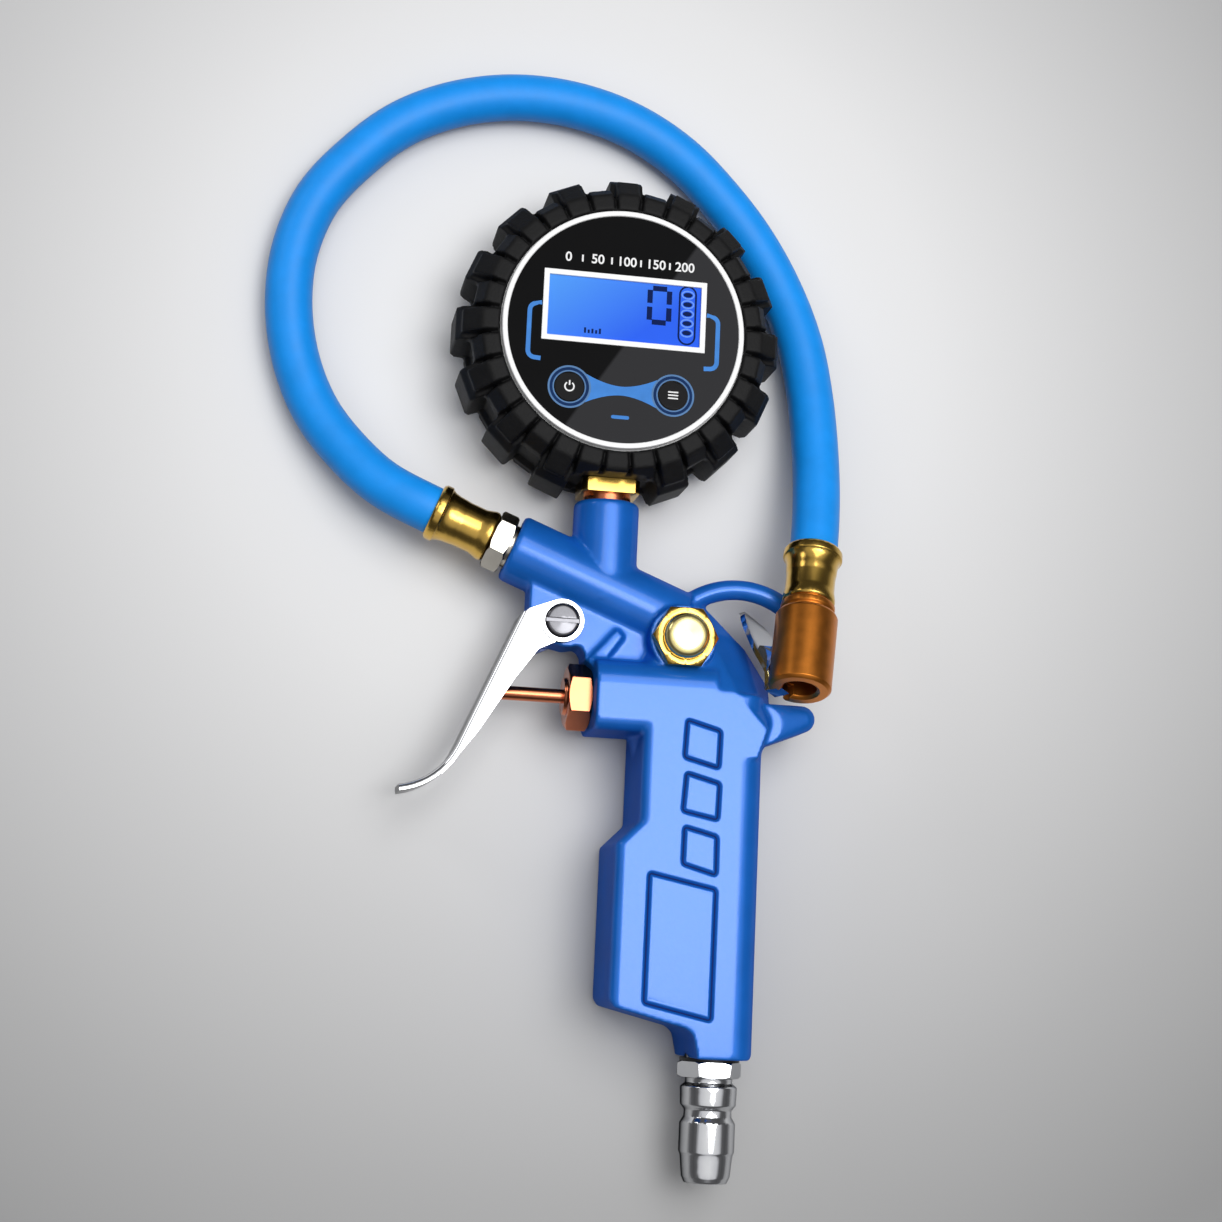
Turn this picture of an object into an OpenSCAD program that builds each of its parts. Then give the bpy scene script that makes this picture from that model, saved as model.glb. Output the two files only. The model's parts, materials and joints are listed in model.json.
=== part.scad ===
// Tyre inflator gun with a round digital gauge in a tyre-tread rubber boot, a hand lever,
// a push-button bleed valve, a short air hose and a clip-on tyre chuck.
// It lies on its back. Lengths are in millimetres, angles in degrees.

/* [Handle and body casting] */
// Thickness of the handle, back to front
handle_t = 29; // [26:0.5:33]
// Width of the handle above the step
grip_w = 31; // [28:0.5:34]
// How far the lower handle stands out in front of the upper one
grip_step = 5.8; // [3:0.1:8]
// Length of the handle below the valve axis
handle_len = 88; // [80:1:110]
// Rounding along the front edge of the handle
edge_r_front = 2.2; // [1:0.1:4]
// Rounding along the rear edge of the handle
edge_r_rear = 6; // [3:0.1:8]
// Height of the air bores above the back of the gun
bore_z = 15.5; // [15:0.1:17]
// Outer diameter of the tube that carries the hose
head_d = 17.6; // [16:0.1:19]
// Slope of that tube
head_slope = 21.3; // [15:0.1:28]
// Outer diameter of the boss under the gauge
boss_d = 16.8; // [15:0.1:18]
// Thickness of the web that carries the lever
web_t = 11; // [8:0.5:12]

/* [Hanging hook] */
// Mean radius of the hook
hook_r = 21.2; // [20:0.1:23]
// Thickness of the hook bar
hook_bar_d = 5.2; // [4:0.1:6]
// Where the open end of the hook stops
hook_end_angle = 16; // [5:1:40]

/* [Gauge] */
// Outer diameter of the gauge case
case_d = 66; // [62:1:68]
// Depth of the gauge with its boot
gauge_depth = 31; // [29:0.5:34]
// Wall of the rubber boot under its tread
boot_wall = 3.8; // [3:0.1:4.5]
// Height of the tread
tread_h = 5.2; // [4:0.1:7]
// Number of tread lobes round the boot
lobe_count = 16; // [10:1:22]
// Width of the display opening
lcd_w = 39.2; // [30:0.2:42]
// Height of the display opening
lcd_h = 15.8; // [12:0.2:18]
// Distance between the two keys
key_pitch = 26.5; // [20:0.5:30]
// Diameter of a key
key_d = 7.4; // [6:0.1:9]
// Wall of the gauge case
case_wall = 1.8; // [1.2:0.1:2.5]

/* [Lever and valve] */
// Diameter of the valve stem
stem_d = 3.6; // [3:0.1:4.5]
// Thickness of the lever's sheet metal
lever_sheet = 1.6; // [1.2:0.1:2]
// Diameter of the lever's pivot screw
pivot_d = 4; // [3:0.1:5]
// Across the corners of the gland nut
gland_ac = 17; // [15:0.1:18]

/* [Bleed valve] */
// Across the corners of the bleed valve's nut
bleed_ac = 16.8; // [16:0.1:18.5]
// Diameter of the bleed button
bleed_button_d = 11.6; // [9:0.1:11.8]
// How far the bleed button can be pressed
bleed_travel = 2; // [1:0.1:2.5]

/* [Hose, plug and chuck] */
// Outer diameter of the hose
hose_d = 12.3; // [10:0.1:13]
// Outer diameter of the chuck
chuck_d = 15.8; // [15:0.1:18]
// Radius of the socket for the tyre valve
socket_r = 4.2; // [4:0.05:4.4]
// Depth of that socket
socket_depth = 12; // [10:0.5:13]
// Diameter of the inlet plug
plug_d = 13.9; // [13:0.1:15]

/* [Hidden] */
$fn = 64;

// Clearances
slide_gap = 0.05;  // radial, between parts that run in each other
seat_gap = 0.02;   // radial, between parts screwed or pushed together

// Handle, in the gun's own frame: X to the right, Y up the gun, Z out of its face
grip_x1 = 38.5;
grip_x0 = grip_x1 - grip_w;
butt_x0 = grip_x0 - grip_step;
valve_y = -22.8;
handle_y0 = valve_y - handle_len;
step_y = valve_y - 31;
step_len = 6;
valve_block_h = 18;
valve_block_x0 = -4.8;
valve_block_x1 = 26;
inlet_x = 30;
inlet_z = handle_t / 2;
inlet_boss_x0 = 22.4;
inlet_boss_h = 6.6;
plateau_y = -20.5;
web_z0 = bore_z - web_t / 2;
web_z1 = bore_z + web_t / 2;
rib_t = 1.2;

// Outlines cut into the front of the handle
groove_w = 0.9;
groove_depth = 0.4;
panel_outlines = [
    [[17.9, -37.6], [26.6, -39.8], [26.8, -30.6], [18.3, -28.3]],
    [[18, -50.9], [26.8, -52.6], [27, -43.7], [18.6, -41.5]],
    [[18.5, -63.9], [26.9, -66.2], [26.8, -56.8], [18.6, -54.8]],
    [[10.2, -97.9], [26.9, -101.5], [27, -69.8], [10.3, -66.5]]
];

// Tube for the hose
head_end = [-26.4, 14.45];
head_len = 47;
head_port_r = 6.2;
boss_x = -2.5;
boss_top = 27.5;
bleed_xy = [16.9, -7.5];
bleed_seat_z = handle_t - 2.5;

// Hook
hook_xy = [33, -13.6];
hook_z = bore_z + 0.5;
hook_start_angle = 128;

// Valve, measured along X from the open end of the valve bore
valve_bore_r = 5;
gland_thread_r = 6.45;
gland_thread_len = 8;
gland_hex_len = 6;
seat_x = valve_block_x0 + gland_thread_len;
seat_len = 4;
seat_hole_r = 2.8;
washer_t = 2;
poppet_t = 2.4;
poppet_r = 4.2;
valve_bore_x1 = 34;

// Lever
pivot = [-13.5, -4.7];
lever_gap = 0.3;
lever_z1 = web_z1 + lever_gap + lever_sheet;
lever_z0 = web_z0 - lever_gap - lever_sheet;
lever_eye_r = 5.4;
pad_lean = 23.1;      // lean of the finger pad from the Y axis
pad_dist = 10.04;     // from the pivot to the pad's outer face
pad_start = 3;        // along the pad, from level with the pivot
pad_end = 39.6;
lip_r = 17.7;
lip_sweep = 58;
stem_rest_gap = 0.3;
pad_inner = pad_dist - lever_sheet;
stem_drop = pivot[1] - valve_y;
stem_tip_x = pivot[0] + stem_rest_gap - stem_d / 2
    - (pad_inner - stem_d / 2 + stem_drop * sin(pad_lean)) / cos(pad_lean);

// Bleed valve, measured up from the back of the gun
bleed_hex_h = 3.7;
bleed_thread_r = bleed_button_d / 2 + 1.2;
bleed_boss_r = bleed_thread_r + 1.6;
bleed_barrel_z = bleed_seat_z - 9;
bleed_stem_r = 1.5;
bleed_disc_r = 3.6;
bleed_disc_t = 1.6;
bleed_washer_t = 1.4;
bleed_button_z = bleed_seat_z + 0.8;
bleed_shelf_z = bleed_button_z - bleed_travel - 3.8;
bleed_chamber_z = 8;

// Gauge
case_r = case_d / 2;
case_z0 = 2.5;
case_z1 = gauge_depth - 3;
face_z = gauge_depth;
face_t = 1.6;
face_r = case_r - 3.35;
bezel_ring_w = 1.4;
bezel_h = gauge_depth + 0.5 - case_z1;
bezel_flange_t = 1.2;
lcd_dy = 4.85;
lcd_rim = 1.4;
key_dy = -16.2;
key_travel = 0.4;
board_z = case_z1 - 6;
board_t = 1.6;
board_r = case_r - 5.5;
carcass_r = case_r + boot_wall;
tread_r = carcass_r + tread_h;
stem_square = 14.8;
stem_nut_y = [29.3, 33];
gauge_xy = [boss_x, stem_nut_y[1] + carcass_r - 0.1];
stem_thread_r = 4.9;
stem_shank_r = 4.5;
bay_y = [-3, 19];
cell_d = 10.5;
cell_len = 44.5;
contact_t = 0.75;
bay_w = cell_len + 2 * contact_t;
cell_z = case_z0 + 2.2 + cell_d / 2;

// Hose and its fittings
head_out = 180 - head_slope;
union_af = 13.6;
union_t = 4.6;
union_neck = 1;
ferrule_len = 16.2;
ferrule_lip = 1.25;
ferrule_socket = 3;
chuck_start = [50.8, 17.9, 22];
chuck_yaw = 261.6;
chuck_tilt = 17.5;
chuck_ferrule_len = 15.6;
chuck_len = 40;
clip_turn = 50;       // the clip's side of the chuck, below level
clip_pin_w = 29;
clip_pin_out = 6.3;
clip_pin_r = 0.8;
clip_w = 6;
clip_pad_w = 13;
clip_bend_w = 34;
clip_lean = 24;
clip_pad_len = 21.5;
clip_curl_r = 7;
clip_slot_w = 6.4;
clip_sheet = 1.3;

// Route of the hose along its middle, from the gun round the gauge to the chuck.
// The first and last points lie in the sockets of the ferrules.
hose_r = hose_d / 2;
hose_route = [
    [-60, 29, 13], [-69, 37, 10], [-77.5, 47.5, 7.5], [-83.5, 60.5, hose_r], [-86.5, 75, hose_r],
    [-86, 90, hose_r], [-81, 105, hose_r], [-72, 117, hose_r], [-60, 128, hose_r], [-46, 135, hose_r],
    [-30, 138.5, hose_r], [-14, 138, hose_r], [1, 134, hose_r], [14.5, 126.5, hose_r], [26, 116, hose_r],
    [36, 104, hose_r], [44, 90, 6.8], [49, 76, 8.5], [51.6, 62, 10.2], [52.6, 48, 13], [52.4, 34, 17]
];

pad_dir = [-sin(pad_lean), -cos(pad_lean)];
pad_normal = [-cos(pad_lean), sin(pad_lean)];

// Point on the lever: s along the pad from level with the pivot, d out from the pivot
function on_pad(s, d) = pivot + s * pad_dir + d * pad_normal;
function lip_centre() = on_pad(pad_end, pad_dist + lip_r);
function lip_angle(t) = -pad_lean - t * lip_sweep;

// Row frame: the origin is under the middle of the gun without its hose
plug_len = 30.2;
pad_tip_x = lip_centre()[0] + lip_r * cos(lip_angle(1));
hook_tip_x = hook_xy[0] + (hook_r + hook_bar_d / 2) * cos(hook_end_angle);
row_x = (pad_tip_x + hook_tip_x) / 2;
row_y = (handle_y0 - plug_len + gauge_xy[1] + tread_r) / 2;

// ---------- helpers ----------

// Points of an arc round c, from angle a0 to a1
function arc_points(c, r, a0, a1, n) = [for (i = [0:n]) let (a = a0 + (a1 - a0) * i / n) c + r * [cos(a), sin(a)]];

// Outline of a box with its own radius at each corner: left low, right low, right high, left high
function soft_box(x0, y0, x1, y1, r) = concat(
    arc_points([x0 + r[0], y0 + r[0]], r[0], 180, 270, 6),
    arc_points([x1 - r[1], y0 + r[1]], r[1], 270, 360, 6),
    arc_points([x1 - r[2], y1 - r[2]], r[2], 0, 90, 6),
    arc_points([x0 + r[3], y1 - r[3]], r[3], 90, 180, 6));

module in_row_frame() { translate([-row_x, -row_y, 0]) children(); }

// Local Z along +X, +Y or -Y of the gun
module along_x(x, y, z) { translate([x, y, z]) rotate([0, 90, 0]) children(); }
module along_up(x, y, z) { translate([x, y, z]) rotate([-90, 0, 0]) children(); }
module along_down(x, y, z) { translate([x, y, z]) rotate([90, 0, 0]) children(); }

// Local Z out of the hose tube, from its end face
module at_head() { translate([head_end[0], head_end[1], bore_z]) rotate([0, 90, head_out]) children(); }

// Local Z along the chuck, from the hose end to the mouth
module at_chuck() { translate(chuck_start) rotate([0, 90 - chuck_tilt, chuck_yaw]) children(); }

// Local Z along the chuck, local X out through the clip
module at_clip() { at_chuck() rotate([0, 0, clip_turn - 90]) children(); }

module at_gauge(z = 0) { translate([gauge_xy[0], gauge_xy[1], z]) children(); }

// Tube or ring by its radii
module ring(r_out, r_in, h) {
    difference() {
        cylinder(r = r_out, h = h);
        translate([0, 0, -1]) cylinder(r = r_in, h = h + 2);
    }
}

// Hexagon nut body with both rims turned down, a flat facing local X
module hex_body(across_corners, h, rim = 0.9) {
    r = across_corners / 2;
    intersection() {
        rotate([0, 0, 30]) cylinder(r = r, h = h, $fn = 6);
        rotate_extrude() polygon([
            [0, 0], [r - rim, 0], [r, rim * 0.6], [r, h - rim * 0.6], [r - rim, h], [0, h]
        ]);
    }
}

module o_ring(r_mean, cord_r) { rotate_extrude() translate([r_mean, 0]) circle(r = cord_r, $fn = 24); }

// Round-wire spring of n turns, as one swept polyhedron
module coil_spring(r_mean, wire_r, h, turns) {
    sides = 6;
    per_turn = 14;
    steps = turns * per_turn;
    rise = h - 2 * wire_r;
    pts = [for (i = [0:steps], k = [0:sides - 1])
        let (a = 360 * i / per_turn, b = 360 * k / sides, rr = r_mean + wire_r * cos(b))
        [rr * cos(a), rr * sin(a), wire_r + rise * i / steps + wire_r * sin(b)]];
    walls = [for (i = [0:steps - 1], k = [0:sides - 1])
        let (p = i * sides + k, q = i * sides + (k + 1) % sides) each [[p, q, q + sides], [p, q + sides, p + sides]]];
    low_cap = [for (k = [1:sides - 2]) [0, k + 1, k]];
    high_cap = [for (k = [1:sides - 2]) [steps * sides, steps * sides + k, steps * sides + k + 1]];
    polyhedron(concat(pts), concat([for (f = walls) [f[0], f[2], f[1]]],
        [for (f = low_cap) [f[0], f[2], f[1]]], [for (f = high_cap) [f[0], f[2], f[1]]]));
}

// ---------- body casting ----------

// Cross-section of the handle, X across and Z up
function grip_section(x0) = soft_box(x0, 0, grip_x1, handle_t, [3, 5, edge_r_rear, edge_r_front]);

// A stretch of the handle between two heights
module grip_stretch(x0, y0, y1) {
    translate([0, y1, 0]) rotate([90, 0, 0]) linear_extrude(y1 - y0) polygon(grip_section(x0));
}

module handle_form() {
    grip_stretch(grip_x0, step_y, valve_y + 2);
    hull() {
        grip_stretch(grip_x0, step_y - 0.1, step_y);
        grip_stretch(butt_x0, step_y - step_len, step_y - step_len + 0.1);
    }
    intersection() {
        grip_stretch(butt_x0, handle_y0, step_y - step_len);
        translate([0, 0, -1]) linear_extrude(handle_t + 2) polygon([
            [butt_x0 - 1, step_y], [butt_x0 - 1, handle_y0 + 14.5], [butt_x0 + 1.5, handle_y0 + 11.5],
            [inlet_boss_x0 - 1.5, handle_y0 + inlet_boss_h + 0.6], [inlet_boss_x0 + 0.4, handle_y0 + inlet_boss_h - 1],
            [inlet_boss_x0 + 1.6, handle_y0], [grip_x1 - 1.2, handle_y0], [grip_x1 + 1, handle_y0 + 2], [grip_x1 + 1, step_y]
        ]);
    }
}

// Block round the valve bore
module valve_block() {
    y0 = valve_y - valve_block_h / 2;
    y1 = valve_y + valve_block_h / 2;
    translate([valve_block_x0, 0, 0]) rotate([90, 0, 90]) linear_extrude(valve_block_x1 - valve_block_x0)
        polygon(soft_box(y0, 1.5, y1, handle_t, [6, 6, 6, 3]));
}

// Sloping shoulders between the handle and the tubes
module neck_form() {
    plateau = [[8, plateau_y], [30.5, plateau_y], [39, -29.5], [grip_x1 - 2, -37], [grip_x0 + 3, -37]];
    waist = [
        [2, -17], [8, -6], [14, 5.4], [20, 6.2], [24.3, 2.5], [35.2, -7.7], [41.6, -17.2], [42.2, -23.5],
        [grip_x1, -36], [grip_x0, -37]
    ];
    hull() {
        translate([0, 0, 0.5]) linear_extrude(handle_t - 0.5) polygon(plateau);
        translate([0, 0, bore_z - 3]) linear_extrude(3) polygon(waist);
    }
}

// Outline of a shallow groove in the front face, drawn in from the outline p by w
module groove_outline(p, w) {
    mid = (p[0] + p[1] + p[2] + p[3]) / 4;
    difference() {
        polygon(p);
        polygon([for (q = p) let (d = q - mid) q - w * [sign(d[0]), sign(d[1])]]);
    }
}

module front_grooves() {
    translate([0, 0, handle_t - groove_depth]) linear_extrude(2) for (p = panel_outlines) groove_outline(p, groove_w);
}

// Thumb ledge behind the handle
module ledge_form() {
    hull() {
        translate([49.3, -25.4, 8.5]) cylinder(r = 3.4, h = 13);
        translate([48.8, -25.6, 6.8]) cylinder(r = 2.2, h = 16.2);
        translate([38, -27.8, 4]) cylinder(r = 5.4, h = 21);
    }
    translate([0, 0, 4.5]) linear_extrude(19) polygon(concat(
        [[34, -28], [46, -27.5]], arc_points([47.3, -37.2], 8.9, 100, 172, 8), [[grip_x1, -38], [34, -38]]));
}

module web_form() {
    over_gland = valve_y + gland_ac / 2 + 0.3;
    translate([0, 0, web_z0]) linear_extrude(web_t) polygon([
        [-21.8, 6], [-21.8, -4], [-20.5, -6.6], [-17, -9.8], [-12, -11], [-8.6, -10.4], [-7.2, -12], [-7, over_gland],
        [valve_block_x0, over_gland], [valve_block_x0, -16], [14, -16], [18, 0], [0, 8]
    ]);
    translate([0, 0, bore_z]) linear_extrude(web_t / 2 + rib_t)
        polygon([[-6.6, over_gland], [valve_block_x0, -16], [-3.4, -16], [2.6, -7.4], [0.6, -5.6]]);
}

module hook_form() {
    translate([hook_xy[0], hook_xy[1], hook_z]) {
        rotate([0, 0, hook_end_angle]) rotate_extrude(angle = hook_start_angle - hook_end_angle)
            translate([hook_r, 0]) circle(r = hook_bar_d / 2);
        // Rounded end, a little smaller than the bar
        rotate([0, 0, hook_end_angle]) translate([hook_r, 0, 0]) sphere(r = hook_bar_d / 2 - 0.2);
    }
}

module tubes_form() {
    at_head() {
        translate([0, 0, -head_len]) cylinder(d = head_d, h = head_len - 0.8);
        translate([0, 0, -0.8]) cylinder(d1 = head_d, d2 = head_d - 1.4, h = 0.8);
    }
    along_up(boss_x, 2, bore_z) cylinder(d = boss_d, h = boss_top - 2.8);
    along_up(boss_x, boss_top - 0.8, bore_z) cylinder(d1 = boss_d, d2 = boss_d - 1.4, h = 0.8);
    translate([bleed_xy[0], bleed_xy[1], 6]) cylinder(r = bleed_boss_r, h = bleed_seat_z - 6);
}

module air_ways() {
    // Hose port and gauge port
    at_head() translate([0, 0, -10]) cylinder(r = head_port_r, h = 11);
    at_head() translate([0, 0, -46]) cylinder(r = 2.5, h = 37);
    along_up(boss_x, boss_top - 14, bore_z) cylinder(r = stem_thread_r + seat_gap, h = 15);
    along_up(boss_x, 0, bore_z) cylinder(r = 2, h = boss_top);
    // Valve bore and the way in from the handle
    along_x(valve_block_x0 - 1, valve_y, bore_z) cylinder(r = gland_thread_r + seat_gap, h = gland_thread_len + 1);
    along_x(seat_x - 0.5, valve_y, bore_z) cylinder(r = valve_bore_r, h = valve_bore_x1 - seat_x + 0.5);
    along_up(inlet_x, handle_y0 - 1, inlet_z) cylinder(r = 4, h = valve_y - handle_y0 + 1);
    along_up(inlet_x, handle_y0 - 1, inlet_z) cylinder(r = 6.2, h = 12);
    along_up(5, valve_y + 2, bore_z) cylinder(r = 1.6, h = 24);
    // Bleed valve bore
    translate([bleed_xy[0], bleed_xy[1], bleed_barrel_z]) cylinder(r = bleed_thread_r + seat_gap, h = 20);
    translate([bleed_xy[0], bleed_xy[1], bleed_chamber_z]) cylinder(r = 4.6, h = 20);
    // Pivot hole
    translate([pivot[0], pivot[1], web_z0 - 1]) cylinder(r = pivot_d / 2 + seat_gap, h = web_t + 2);
}

module body_casting() {
    color("royalblue") in_row_frame() difference() {
        union() {
            handle_form();
            valve_block();
            neck_form();
            ledge_form();
            web_form();
            hook_form();
            tubes_form();
        }
        air_ways();
        front_grooves();
    }
}

// ---------- inlet ----------

// Quick plug: thread, hexagon, neck, collar, groove and barrel
module inlet_nipple() {
    r = plug_d / 2;
    color("gainsboro") in_row_frame() along_down(inlet_x, handle_y0, inlet_z) difference() {
        union() {
            translate([0, 0, -10]) cylinder(r = 6.15, h = 10);
            cylinder(r = 6.4, h = 0.8);
            translate([0, 0, 0.8]) rotate([0, 0, 30]) hex_body(16.2, 4, 0.8);
            rotate_extrude() polygon([
                [0, 3], [r - 0.8, 3], [r - 1.1, 6], [r + 0.15, 7], [r, 11.4], [r - 1, 12.6], [r - 1, 14.2],
                [r, 15.8], [r, 22.6], [r - 0.4, 23.6], [r - 0.9, 28.6], [r - 1.6, plug_len], [0, plug_len]
            ]);
        }
        translate([0, 0, -11]) cylinder(r = 3, h = plug_len + 12);
        translate([0, 0, plug_len - 1.2]) cylinder(r1 = 3, r2 = 4.3, h = 1.3);
    }
}

module inlet_seal() {
    color("black") in_row_frame() along_down(inlet_x, handle_y0, inlet_z) ring(7.5, 6.4 + slide_gap, 0.8 - slide_gap);
}

// ---------- valve ----------

module gland_nut() {
    color("peru") in_row_frame() along_x(valve_block_x0, valve_y, bore_z) difference() {
        union() {
            translate([0, 0, -1]) cylinder(r = gland_thread_r, h = gland_thread_len + 1);
            translate([0, 0, -gland_hex_len]) hex_body(gland_ac, gland_hex_len, 1.2);
            translate([0, 0, -gland_hex_len - 0.8]) cylinder(r1 = 4.6, r2 = 5.4, h = 1.8);
        }
        translate([0, 0, -gland_hex_len - 2]) cylinder(r = stem_d / 2 + slide_gap, h = gland_hex_len + gland_thread_len + 4);
        translate([0, 0, gland_thread_len - 3]) cylinder(r = stem_d / 2 + 1.8, h = 4);
    }
}

module gland_seal() {
    color("black") in_row_frame() along_x(seat_x - 1.2, valve_y, bore_z)
        o_ring(stem_d / 2 + slide_gap + 0.85, 0.85);
}

module valve_seat() {
    color("darkgoldenrod") in_row_frame() along_x(seat_x, valve_y, bore_z) {
        difference() {
            cylinder(r = valve_bore_r - seat_gap, h = seat_len);
            translate([0, 0, -1]) cylinder(r = seat_hole_r, h = seat_len + 2);
        }
    }
}

// Rod with a rounded tip, and the poppet on its inner end
module valve_stem() {
    poppet_x = seat_x + seat_len + washer_t + slide_gap;
    rod_len = poppet_x - stem_tip_x;
    color("sienna") in_row_frame() {
        along_x(stem_tip_x + stem_d / 2, valve_y, bore_z) {
            cylinder(d = stem_d, h = rod_len - stem_d / 2);
            sphere(d = stem_d);
        }
        along_x(poppet_x, valve_y, bore_z) {
            cylinder(r = poppet_r, h = poppet_t);
            cylinder(r = 1.6, h = poppet_t + 3);
        }
    }
}

module valve_washer() {
    color("black") in_row_frame() along_x(seat_x + seat_len + slide_gap, valve_y, bore_z)
        ring(poppet_r, stem_d / 2, washer_t);
}

module valve_spring() {
    spring_x0 = seat_x + seat_len + washer_t + slide_gap + poppet_t;
    color("silver") in_row_frame() along_x(spring_x0, valve_y, bore_z)
        coil_spring(3, 0.45, valve_bore_x1 - spring_x0, 7);
}

// ---------- lever ----------

// Finger pad: straight, then curled outwards at its end
function pad_outline() = concat(
    [on_pad(pad_start, pad_inner), on_pad(pad_start, pad_dist)],
    arc_points(lip_centre(), lip_r, lip_angle(0), lip_angle(1), 10),
    arc_points(lip_centre(), lip_r + lever_sheet, lip_angle(1), lip_angle(0), 10));

// Side wall: as deep as the lever at the top, running out on the pad near the lip
function wall_outline() = concat(
    [on_pad(pad_start, pad_dist)],
    arc_points(lip_centre(), lip_r, lip_angle(0), lip_angle(0.35), 4),
    arc_points(lip_centre(), lip_r + lever_sheet + 0.2, lip_angle(0.35), lip_angle(0.1), 3),
    [on_pad(pad_end - 5, pad_dist - 3.4), on_pad(18, 4.2), on_pad(9, 2.2), on_pad(4.6, -1.6), on_pad(0, -3),
     on_pad(-4, 2), on_pad(-3.6, 4.2), on_pad(0.6, pad_dist - 1.6)]);

module lever_wall(z) {
    translate([0, 0, z]) linear_extrude(lever_sheet) difference() {
        union() {
            polygon(wall_outline());
            translate(pivot) circle(r = lever_eye_r);
        }
        translate(pivot) circle(r = pivot_d / 2 + slide_gap);
    }
}

module trigger_lever() {
    color("gainsboro") in_row_frame() {
        translate([0, 0, lever_z0]) linear_extrude(lever_z1 - lever_z0) polygon(pad_outline());
        lever_wall(lever_z0);
        lever_wall(lever_z1 - lever_sheet);
        translate([pivot[0], pivot[1], lever_z1]) ring(lever_eye_r, lever_eye_r - 0.9, 0.9);
    }
}

module pivot_screw() {
    head_r = lever_eye_r - 0.9 - 0.15;
    color("silver") in_row_frame() translate([pivot[0], pivot[1], 0]) difference() {
        union() {
            translate([0, 0, lever_z0 - 4]) cylinder(r = pivot_d / 2, h = lever_z1 - lever_z0 + 4 + slide_gap);
            translate([0, 0, lever_z1 + slide_gap]) rotate_extrude() polygon(concat(
                [[0, 0], [head_r, 0]], arc_points([head_r - 1, 0.5], 1, 0, 90, 4), [[0, 1.9]]));
        }
        translate([-6, -0.5, lever_z1 + 1.1]) cube([12, 1, 3]);
    }
}

module pivot_nut() {
    color("silver") in_row_frame() translate([pivot[0], pivot[1], lever_z0 - 3 - slide_gap]) difference() {
        hex_body(8, 3, 0.5);
        translate([0, 0, -1]) cylinder(r = pivot_d / 2 + seat_gap, h = 5);
    }
}

// ---------- bleed valve ----------

module at_bleed(z) { in_row_frame() translate([bleed_xy[0], bleed_xy[1], z]) children(); }

module bleed_nut() {
    color("gold") at_bleed(0) difference() {
        union() {
            translate([0, 0, bleed_seat_z]) rotate([0, 0, 30]) hex_body(bleed_ac, bleed_hex_h, 1.3);
            translate([0, 0, bleed_barrel_z]) cylinder(r = bleed_thread_r, h = bleed_seat_z - bleed_barrel_z);
        }
        translate([0, 0, bleed_shelf_z]) cylinder(r = bleed_button_d / 2 + slide_gap, h = 20);
        translate([0, 0, bleed_barrel_z - 1]) cylinder(r = bleed_stem_r + slide_gap, h = 20);
    }
}

// Domed button on a stem, with the disc that shuts the bleed port
module bleed_button() {
    r = bleed_button_d / 2;
    disc_z = bleed_barrel_z - slide_gap - bleed_washer_t - bleed_disc_t;
    cap_h = bleed_seat_z + bleed_hex_h + 0.6 - bleed_button_z;
    color("gold") at_bleed(0) {
        translate([0, 0, bleed_button_z]) rotate_extrude() polygon(concat(
            [[0, 0], [r, 0], [r, cap_h]], arc_points([r - 2.2, cap_h], 2.2, 8, 68, 6), [[0, cap_h + 2.75]]));
        translate([0, 0, disc_z]) cylinder(r = bleed_stem_r, h = bleed_button_z - disc_z + 0.5);
        translate([0, 0, disc_z]) cylinder(r = bleed_disc_r, h = bleed_disc_t);
    }
}

module bleed_washer() {
    color("black") at_bleed(bleed_barrel_z - slide_gap - bleed_washer_t)
        ring(bleed_disc_r, bleed_stem_r, bleed_washer_t);
}

module bleed_spring() {
    color("silver") at_bleed(bleed_shelf_z)
        coil_spring(3.2, 0.4, bleed_button_z - bleed_shelf_z, 4);
}

// ---------- gauge ----------

// Thread, square, shank and the pipe into the case
module gauge_stem() {
    nut_h = stem_nut_y[1] - stem_nut_y[0];
    case_bottom = gauge_xy[1] - case_r;
    color("gold") in_row_frame() along_up(boss_x, 0, bore_z) difference() {
        union() {
            translate([0, 0, boss_top - 12]) cylinder(r = stem_thread_r, h = stem_nut_y[0] - boss_top + 12);
            translate([0, 0, stem_nut_y[0]]) intersection() {
                translate([-stem_square / 2, -stem_square / 2, 0]) cube([stem_square, stem_square, nut_h]);
                cylinder(d = stem_square * 1.3, h = nut_h);
            }
            translate([0, 0, stem_nut_y[1]]) cylinder(r = stem_shank_r, h = case_bottom - stem_nut_y[1] + 7);
        }
        translate([0, 0, boss_top - 13]) cylinder(r = 1.6, h = case_bottom - boss_top + 25);
    }
}

// Copper washer between the boss and the square
module gauge_stem_seal() {
    color("sandybrown") in_row_frame() along_up(boss_x, boss_top, bore_z)
        ring(stem_thread_r + 1.2, stem_thread_r + seat_gap, stem_nut_y[0] - boss_top);
}

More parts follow.
